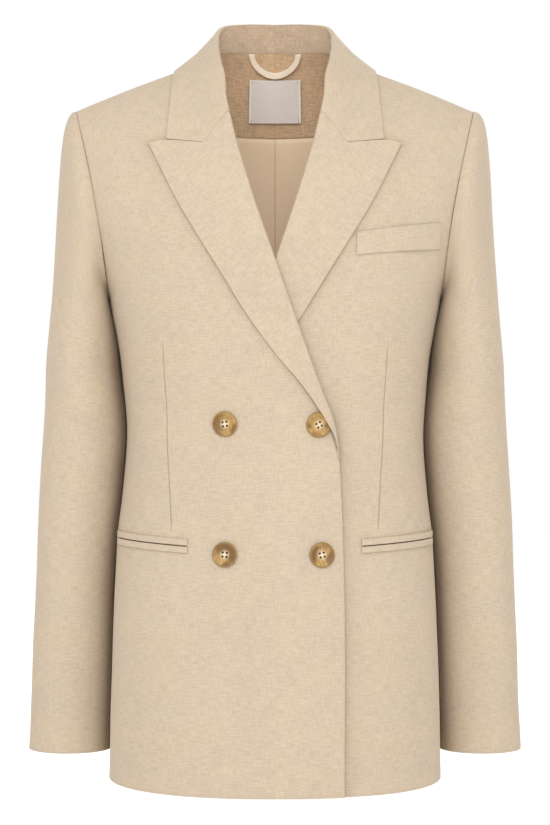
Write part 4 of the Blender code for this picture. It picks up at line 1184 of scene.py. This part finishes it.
# painted shade along the facing's middle seam
shade = facingLook["paintedShade"] * dip(points[..., 0], seamLook["width"])
laySheet(
    "neckFacing", points, [facingSuitingLit], "back_neck_facing", True, grain=flatGrain(points, 0),
    shade=np.stack([shade, shade]),
)
labelLook = {
    "columns": 50, "rows": 40, "edge": 0.0004,
    "fold": 0.0023, "foldWall": 0.00035, "foldEdge": 0.00015, "foldColumns": 8, "foldRows": 30,
    "tack": 0.0032, "tackIn": 0.0026, "tackUp": 0.0012,
    "tackSunk": 0.0001, "tackRadius": 0.00022, "loopColumns": 7, "loopRows": 90,
}
points = layGrid(labelSkin, even(steps(labelLook["columns"])), even(steps(labelLook["rows"])))
laySheet(
    "bareLabel", points, [labelSatin], "neck_label", True,
    wall=label["wall"], edge=labelLook["edge"],
)
labelFace = facing["inside"] - label["seat"] - label["wall"]


def foldSkin(sign):
    def skin(u, v):
        out = sign * (label["halfWidth"] - labelLook["fold"] * (u if sign < 0 else 1 - u))
        height = label["foot"] + (label["top"] - label["foot"]) * v
        return insideBack(out, height, labelFace + labelLook["foldEdge"])

    return skin


for side, sign in (("right", -1), ("left", 1)):
    points = layGrid(foldSkin(sign), even(labelLook["foldColumns"]), even(steps(labelLook["foldRows"])))
    laySheet(
        f"labelFold_{side}", points, [foldSatin], isFlipped=True,
        wall=labelLook["foldWall"], edge=labelLook["foldEdge"],
    )
tackOut = np.repeat([-1.0, 1.0], 2) * (label["halfWidth"] - labelLook["tackIn"])
tackFoot = np.tile([label["foot"] + labelLook["tackUp"], label["top"] - labelLook["tackUp"] - labelLook["tack"]], 2)
starts = insideBack(tackOut, tackFoot, labelFace - labelLook["tackSunk"])
ends = insideBack(tackOut, tackFoot + labelLook["tack"], labelFace - labelLook["tackSunk"])
dress(sewStitches("labelTacks", starts, ends, -outward(starts), labelLook["tackRadius"]), [labelThread])
points = layGrid(loopSkin, even(labelLook["loopColumns"]), even(steps(labelLook["loopRows"])))
laySheet(
    "hangerLoop", points, [loopTape], "hanger_loop", True,
    wall=loop["wall"], edge=labelLook["edge"],
)
print("inside of the back laid")

# Sleeves
sleeveLook = {
    "columns": {"top": 80, "under": 32}, "headRows": 54, "armRows": 76, "ripple": 0.0007, "rippleSize": 0.060,
    "rippleStart": 1, "seed": {"right": 51, "left": 57}, "arc": 0.045, "turnUp": 0.036, "grainOff": (0.7, 0.2),
    "calmSeam": (0.001, 0.012), "calmCuff": (-0.686, -0.670), "calmHead": (0.02, 0.14),
    "shade": 0.78, "shadeFrom": (math.radians(126), math.radians(174)),
    "shadeTo": (math.radians(195), math.radians(235)), "shadeTop": (0.13, 0.25),
    "creases": {  # ends as places round the arm and heights, then width and height of the fold
        "right": [
            (((0.050, -0.352), (0.112, -0.372)), 0.013, -0.0014),
            (((0.048, -0.385), (0.110, -0.392)), 0.012, 0.0010),
            (((0.060, -0.318), (0.108, -0.300)), 0.011, -0.0010),
            (((-0.010, -0.360), (-0.075, -0.345)), 0.014, -0.0012),
            (((0.075, -0.250), (0.110, -0.205)), 0.012, -0.0012),
            (((0.030, -0.560), (0.085, -0.585)), 0.018, -0.0008),
        ],
        "left": [
            (((0.046, -0.342), (0.108, -0.358)), 0.014, -0.0012),
            (((0.055, -0.372), (0.112, -0.386)), 0.012, 0.0011),
            (((0.052, -0.410), (0.104, -0.402)), 0.012, -0.0010),
            (((-0.015, -0.372), (-0.070, -0.352)), 0.013, -0.0013),
            (((0.070, -0.262), (0.108, -0.212)), 0.013, -0.0014),
            (((0.040, -0.610), (0.090, -0.596)), 0.018, -0.0008),
        ],
    },
}


def besideBodyShade(angle, height):
    # painted shade on the cloth that lies next to the body
    shade = ease(angle, *sleeveLook["shadeFrom"]) * (1 - ease(angle, *sleeveLook["shadeTo"]))
    return sleeveLook["shade"] * shade * ease(-height, *sleeveLook["shadeTop"])


def isSleeveLined(middles):
    return middles[:, 2] > sleeveSections["height"][0] + sleeveLook["turnUp"]


vs = spread((steps(sleeveLook["headRows"]), steps(sleeveLook["armRows"])), [0, headShare, 1])
seams = (sleeveCut["backSeam"] - 2 * math.pi, sleeveCut["frontSeam"], sleeveCut["backSeam"])
for side, isRight, isUnder in sides:
    for part, first, last in (("top", *seams[:2]), ("under", *seams[1:])):
        us = even(steps(sleeveLook["columns"][part]))
        points = layGrid(sleeveSkin(first, last - sleeveCut["seamAngle"]), us, vs)
        angle = np.broadcast_to(first + (last - first) * us, points.shape[:2])
        height = points[..., 2]
        nearSeam = np.minimum(us, 1 - us) * (last - first) * sleeveLook["arc"]
        calm = ease(nearSeam, *sleeveLook["calmSeam"]) * ease(height, *sleeveLook["calmCuff"])
        calm = calm * ease(vs, *sleeveLook["calmHead"])[:, None]
        relief = folds(angle * sleeveLook["arc"], height, sleeveLook, sleeveLook["seed"][side], side)
        points = rumple(points, relief * calm)
        laySheet(
            f"{part}Sleeve_{side}", points, [suiting, liningSatin], f"{part}_sleeve_{side}",
            isMirrored=isRight, grain=grainOf(points, fromLast=True) + sleeveLook["grainOff"],
            shade=besideBodyShade(angle, height), linedAt=isSleeveLined,
        )
print("sleeves laid")

# Pockets, and the pocketing that shows in the slit between two jets, made dark as painted shade
pocketLook = {
    "columns": 60, "weltRows": 20, "jetRows": 9, "mouthColumns": 50, "mouthRows": 4, "mouthHalfWidth": 0.0036,
    "mouthLift": 0.0002, "mouthTuck": 0.0012, "mouthWall": 0.0003, "mouthEdge": 0.0001,
}


def mouthSkin(isUnder):
    def skin(u, v):
        tuck = pocketLook["mouthTuck"]
        out = jet["inner"] + tuck + (jet["outer"] - jet["inner"] - 2 * tuck) * u
        flat = np.stack([out, slitHeight(out) + pocketLook["mouthHalfWidth"] * (2 * v - 1)], axis=1)
        return onFront(flat, np.full(len(u), pocketLook["mouthLift"]), isUnder)

    return skin


us = even(steps(pocketLook["columns"]))
points = layGrid(weltSkin, us, even(steps(pocketLook["weltRows"])))
laySheet("breastWelt", points, [suiting], "breast_welt")
for side, isRight, isUnder in sides:
    for part, isUpper in (("upper", True), ("lower", False)):
        points = layGrid(jetSkin(isUpper, isUnder), us, even(pocketLook["jetRows"]))
        name = f"{part}_{side}"
        laySheet(
            f"pocketJet_{name}", points, [suiting], f"pocket_jet_{name}",
            isMirrored=isRight,
        )
print("pockets laid")
for side, isRight, isUnder in sides:
    points = layGrid(mouthSkin(isUnder), even(steps(pocketLook["mouthColumns"])), even(pocketLook["mouthRows"]))
    laySheet(
        f"pocketMouth_{side}", points, [pocketingInShade], isMirrored=isRight,
        wall=pocketLook["mouthWall"], edge=pocketLook["mouthEdge"],
    )
print("pocket mouths laid")

# Buttons
buttonLook = {
    "seat": 0.0005, "turnSteps": 72, "between": 3, "sharp": math.radians(38), "dark": -0.01,
    "holeRadius": 0.00075, "holeSpacing": 0.0019, "holeSides": 20, "face": 0.0019, "flare": 0.0004, "past": 0.001,
    "threadRadius": 0.0038, "threadTop": 0.0003, "threadFoot": -0.0004, "threadSides": 24,
    "profile": [  # radius and height, from the middle of the face round the rim to the middle of the back
        (0.0000, 0.00190), (0.0030, 0.00188), (0.0058, 0.00186), (0.0076, 0.00205), (0.0090, 0.00262),
        (0.0101, 0.00285), (0.0112, 0.00255), (0.01185, 0.00190), (0.0119, 0.00135), (0.0112, 0.00070),
        (0.0098, 0.00015), (0.0080, 0.00000), (0.0000, 0.00000),
    ],
    "places": {  # out, height, how far it is turned, where its horn was cut from
        "upper_outer": (0.0470, -0.3573, 8, 0.031), "upper_edge": (-0.0412, -0.3580, 28, 0.112),
        "lower_outer": (0.0470, -0.4803, -4, 0.218), "lower_edge": (-0.0440, -0.4806, 12, 0.347),
    },
}
hornLook = {
    "amberDark": (0.285, 0.160, 0.042, 1), "amberLight": (0.40, 0.25, 0.078, 1), "brown": (0.150, 0.075, 0.020, 1),
    "rim": (0.27, 0.155, 0.038, 1), "middle": (0.60, 0.49, 0.32, 1), "holeShade": (0.03, 0.018, 0.01, 1),
    "veinRange": (0.35, 0.7), "brownRange": (0.40, 0.66), "rimRange": (0.0095, 0.0122),
    "middleRange": (0.0006, 0.0060), "holeBelow": -0.001, "veins": ((130, 600, 1), 3.0, 0.6),
    "clouds": [("Scale", 60.0), ("Detail", 2.0), ("Roughness", 0.45), ("Distortion", 0.5)],
    "turning": 14000.0, "bump": 0.10, "bumpDepth": 0.0001,
    "roughness": 0.38, "specular": 0.3, "coat": 0.08, "coatRoughness": 0.2,
}


def turned(profile, count):
    # a lathe's points and faces round +Z; the first and last places are on the axis
    rings = np.array(profile[1:-1])
    angle = np.linspace(0, 2 * math.pi, count, endpoint=False)
    wall = np.stack([
        rings[:, :1] * np.cos(angle), rings[:, :1] * np.sin(angle), np.repeat(rings[:, 1:], count, axis=1),
    ], axis=2).reshape(-1, 3)
    places = np.concatenate([[[0, 0, profile[0][1]]], wall, [[0, 0, profile[-1][1]]]])
    faces = []
    for k in range(count):
        ahead = (k + 1) % count
        faces.append((0, 1 + k, 1 + ahead))
        for ring in range(len(rings) - 1):
            a, b = 1 + ring * count, 1 + (ring + 1) * count
            faces.append((a + k, b + k, b + ahead, a + ahead))
        last = 1 + (len(rings) - 1) * count
        faces.append((last + k, len(places) - 1, last + ahead))
    return places, faces


def smoothProfile(knots, between):
    knots = np.array(knots)
    at = np.linspace(0, len(knots) - 1, (len(knots) - 1) * between + 1)
    return [tuple(row) for row in np.maximum(through(at, np.arange(len(knots)), knots), 0)]


def holesCutter():
    look = buttonLook
    radius, top = look["holeRadius"], look["face"] + look["flare"]
    profile = [(0, -look["past"]), (radius, -look["past"]), (radius, look["face"] - look["flare"])]
    spots, sides = turned(profile + [(radius * 2.0, top), (0, top)], look["holeSides"])
    places, faces = [], []
    for x in (-1, 1):
        for y in (-1, 1):
            faces += [tuple(index + len(places) for index in face[::-1]) for face in sides]
            places += (spots + (x * look["holeSpacing"], y * look["holeSpacing"], 0)).tolist()
    # the drilled walls get a radius below zero, so that the horn colours them near black as painted shade
    dark = np.full((len(places), 2), look["dark"])
    return newPiece("buttonDrill", newMesh("buttonDrill", places, faces, False, grain=dark, ring=dark))


def hornMaterial():
    look = hornLook
    material, tree, shader = newMaterial("amber horn")
    grain = node(tree, "ShaderNodeUVMap", uv_map="grain").outputs[0]
    ring = node(tree, "ShaderNodeUVMap", uv_map="ring").outputs[0]
    radius = node(tree, "ShaderNodeSeparateXYZ", [(0, ring)]).outputs[0]
    clouds = node(tree, "ShaderNodeTexNoise", [("Vector", grain), *look["clouds"]], noise_dimensions="2D")
    cloud = clouds.outputs["Fac"]
    vein = streaks(tree, grain, *look["veins"])
    amber = mixColour(tree, ramp(tree, vein, *look["veinRange"]), look["amberDark"], look["amberLight"])
    brown = mixColour(tree, ramp(tree, cloud, *look["brownRange"]), look["brown"], amber)
    rim = mixColour(tree, ramp(tree, radius, *look["rimRange"]), brown, look["rim"])
    pale = mixColour(tree, ramp(tree, radius, *look["middleRange"]), look["middle"], rim)
    # painted shade: the drilled holes' walls are near black
    face = mixColour(tree, maths(tree, "GREATER_THAN", radius, look["holeBelow"]), look["holeShade"], pale)
    tree.links.new(face, shader.inputs["Base Color"])
    rings = maths(tree, "SINE", maths(tree, "MULTIPLY", radius, look["turning"]))
    height = maths(tree, "ADD", rings, vein)
    relief = [("Strength", look["bump"]), ("Distance", look["bumpDepth"]), ("Height", height)]
    tree.links.new(node(tree, "ShaderNodeBump", relief).outputs[0], shader.inputs["Normal"])
    shader.inputs["Roughness"].default_value = look["roughness"]
    shader.inputs["Specular IOR Level"].default_value = look["specular"]
    shader.inputs["Coat Weight"].default_value = look["coat"]
    shader.inputs["Coat Roughness"].default_value = look["coatRoughness"]
    return material


def drilledButton(name, cutFrom, cutter):
    places, faces = turned(smoothProfile(buttonLook["profile"], buttonLook["between"]), buttonLook["turnSteps"])
    ring = np.stack([np.hypot(places[:, 0], places[:, 1]), places[:, 2]], axis=1)
    mesh = newMesh(name, places, faces, False, grain=places[:, :2] + cutFrom, ring=ring)
    rough = newPiece("roughButton", mesh)
    drill = rough.modifiers.new("drilled", "BOOLEAN")
    drill.operation = "DIFFERENCE"
    drill.solver = "EXACT"
    drill.object = cutter
    bpy.context.view_layer.update()
    drilled = bpy.data.meshes.new_from_object(rough.evaluated_get(bpy.context.evaluated_depsgraph_get()))
    bpy.data.objects.remove(rough)
    drilled.shade_smooth()
    drilled.set_sharp_from_angle(angle=buttonLook["sharp"])
    return drilled


horn = hornMaterial()
cutter = holesCutter()
shank = [(0, buttonLook["threadTop"]), (buttonLook["threadRadius"], buttonLook["threadTop"])]
shank += [(buttonLook["threadRadius"], buttonLook["threadFoot"]), (0, buttonLook["threadFoot"])]
for place, (out, height, turn, cutFrom) in buttonLook["places"].items():
    button = drilledButton(f"button_{place}", cutFrom, cutter)
    # the thread under each button is real, but near black as painted shade, so that the holes look dark
    spots, walls = turned(shank, buttonLook["threadSides"])
    thread = newMesh(f"thread_{place}", spots, walls, False, grain=spots[:, :2])
    flat = np.array([[out, height]])
    seat = onFront(flat, np.array([buttonLook["seat"]]), 0.0)[0] * (-1, 1, 1)
    way = Vector(outward(onFront(flat, np.zeros(1), 0.0))[0] * (-1, 1, 1)).to_track_quat("Z", "X")
    spin = Quaternion((0, 0, 1), math.radians(turn))
    button.transform(Matrix.Translation(seat) @ (way @ spin).to_matrix().to_4x4())
    thread.transform(Matrix.Translation(seat) @ way.to_matrix().to_4x4())
    dress(newPiece(f"hornButton_{place}", button), [horn], f"button_{place}")
    dress(newPiece(f"buttonThread_{place}", thread), [threadInShade])
bpy.data.objects.remove(cutter)
print("buttons turned")

# Buttonholes of the edge column, worked in thread round a slit that ends in a small eyelet
buttonholeLook = {
    "eyelet": -0.0290, "end": -0.0530, "places": {"upper": (0, -0.3579), "lower": (-0.0026, -0.4806)}, "points": 420,
    "halfWidth": 0.0004, "eyeletRadius": 0.0009, "eyeletReach": 0.0012, "bead": 0.00042, "beadRise": 0.6,
    "stitches": 62, "ridge": 0.18, "lift": 0.0001, "sides": 8, "squareness": 4,
}


def buttonholePath(at):
    # once round the hole, from the eyelet's inner side
    look = buttonholeLook
    turn = at * 2 * math.pi
    along = look["eyelet"] + (look["end"] - look["eyelet"]) * ease((1 - np.cos(turn)) / 2, 0, 1)
    swell = look["eyeletRadius"] * dip(along - look["eyelet"], look["eyeletReach"])
    across = np.minimum(np.abs(np.sin(turn)) * look["squareness"], 1) * (look["halfWidth"] + swell)
    return along, np.sign(np.sin(turn)) * across


for name, (shift, height) in buttonholeLook["places"].items():
    look = buttonholeLook
    count = steps(look["points"])
    at = np.arange(count) / count
    along, across = buttonholePath(at)
    path = np.stack([along + shift, height + across], axis=1)
    middle = onFront(path, np.full(count, look["bead"] * look["beadRise"]), 0.0)
    up = outward(middle)
    aside = np.cross(unit(np.roll(middle, -1, axis=0) - np.roll(middle, 1, axis=0)), up)
    around = np.linspace(0, 2 * math.pi, look["sides"], endpoint=False)[:, None]
    thick = look["bead"] * (1 + look["ridge"] * np.sin(at * 2 * math.pi * look["stitches"]))
    tube = middle[:, None] + thick[:, None, None] * (aside[:, None] * np.cos(around) + up[:, None] * np.sin(around))
    slit = onFront(path, np.full(count, look["lift"]), 0.0)
    places = np.concatenate([tube.reshape(-1, 3), slit]) * (-1, 1, 1)
    index = np.arange(tube.size // 3).reshape(count, look["sides"])
    ahead = np.roll(index, -1, axis=0)
    faces = np.stack([index, np.roll(index, -1, axis=1), np.roll(ahead, -1, axis=1), ahead], axis=2).reshape(-1, 4)
    first = index.size
    # a strip across the slit in the near-black thread finish stands for the shade in the open slit
    strip = [
        (first + k, first + k + 1, first + count - k - 1, first + (count - k) % count) for k in range(count // 2)
    ]
    mesh = newMesh(f"buttonhole_{name}", places, faces.tolist() + strip, grain=places[:, ::2])
    mesh.polygons.foreach_set("material_index", np.repeat([0, 1], [len(faces), len(strip)]))
    dress(newPiece(f"workedButtonhole_{name}", mesh), [suiting, threadInShade])
print("buttonholes worked")

# Stage, light and camera
stageLook = {
    "camera": (0, -2.0, -0.3465), "lens": 87.27, "sensor": 36, "floorHeight": -0.86, "floorSize": 40,
    "floorPaint": (0.992, 0.992, 0.992, 1), "floorRoughness": 0.9, "sky": 1.0,
    "lights": {  # place, size and watts
        "key": ((-0.4, -2.7, 1.1), 2.2, 46.0), "fill": ((0.9, -2.9, -0.3), 2.2, 20.0),
        "back": ((0.6, 2.8, 0.8), 2.4, 24.0),
    },
}
camera = newPiece("camera", bpy.data.cameras.new("camera"))
camera.data.lens = stageLook["lens"]
camera.data.sensor_width = stageLook["sensor"]
camera.location = stageLook["camera"]
camera.rotation_euler = (math.pi / 2, 0, 0)
bpy.context.scene.camera = camera
bpy.context.scene.view_settings.view_transform = "Standard"

bpy.ops.mesh.primitive_plane_add(size=stageLook["floorSize"], location=(0, 0, stageLook["floorHeight"]))
floor = bpy.context.object
floor.name = "paleFloor"
floorMaterial, tree, shader = newMaterial("pale floor")
shader.inputs["Base Color"].default_value = stageLook["floorPaint"]
shader.inputs["Roughness"].default_value = stageLook["floorRoughness"]
floor.data.materials.append(floorMaterial)

world = bpy.data.worlds.new("studio")
bpy.context.scene.world = world
world.use_nodes = True
world.node_tree.nodes["Background"].inputs["Color"].default_value = (1, 1, 1, 1)
world.node_tree.nodes["Background"].inputs["Strength"].default_value = stageLook["sky"]

for name, (place, size, watts) in stageLook["lights"].items():
    lamp = bpy.data.lights.new(name, "AREA")
    lamp.size = size
    lamp.energy = watts
    holder = newPiece(f"{name}Light", lamp)
    holder.location = place
    aim = Vector((0, 0, stageLook["camera"][2])) - holder.location
    holder.rotation_euler = aim.to_track_quat("-Z", "Y").to_euler()
print("stage set")
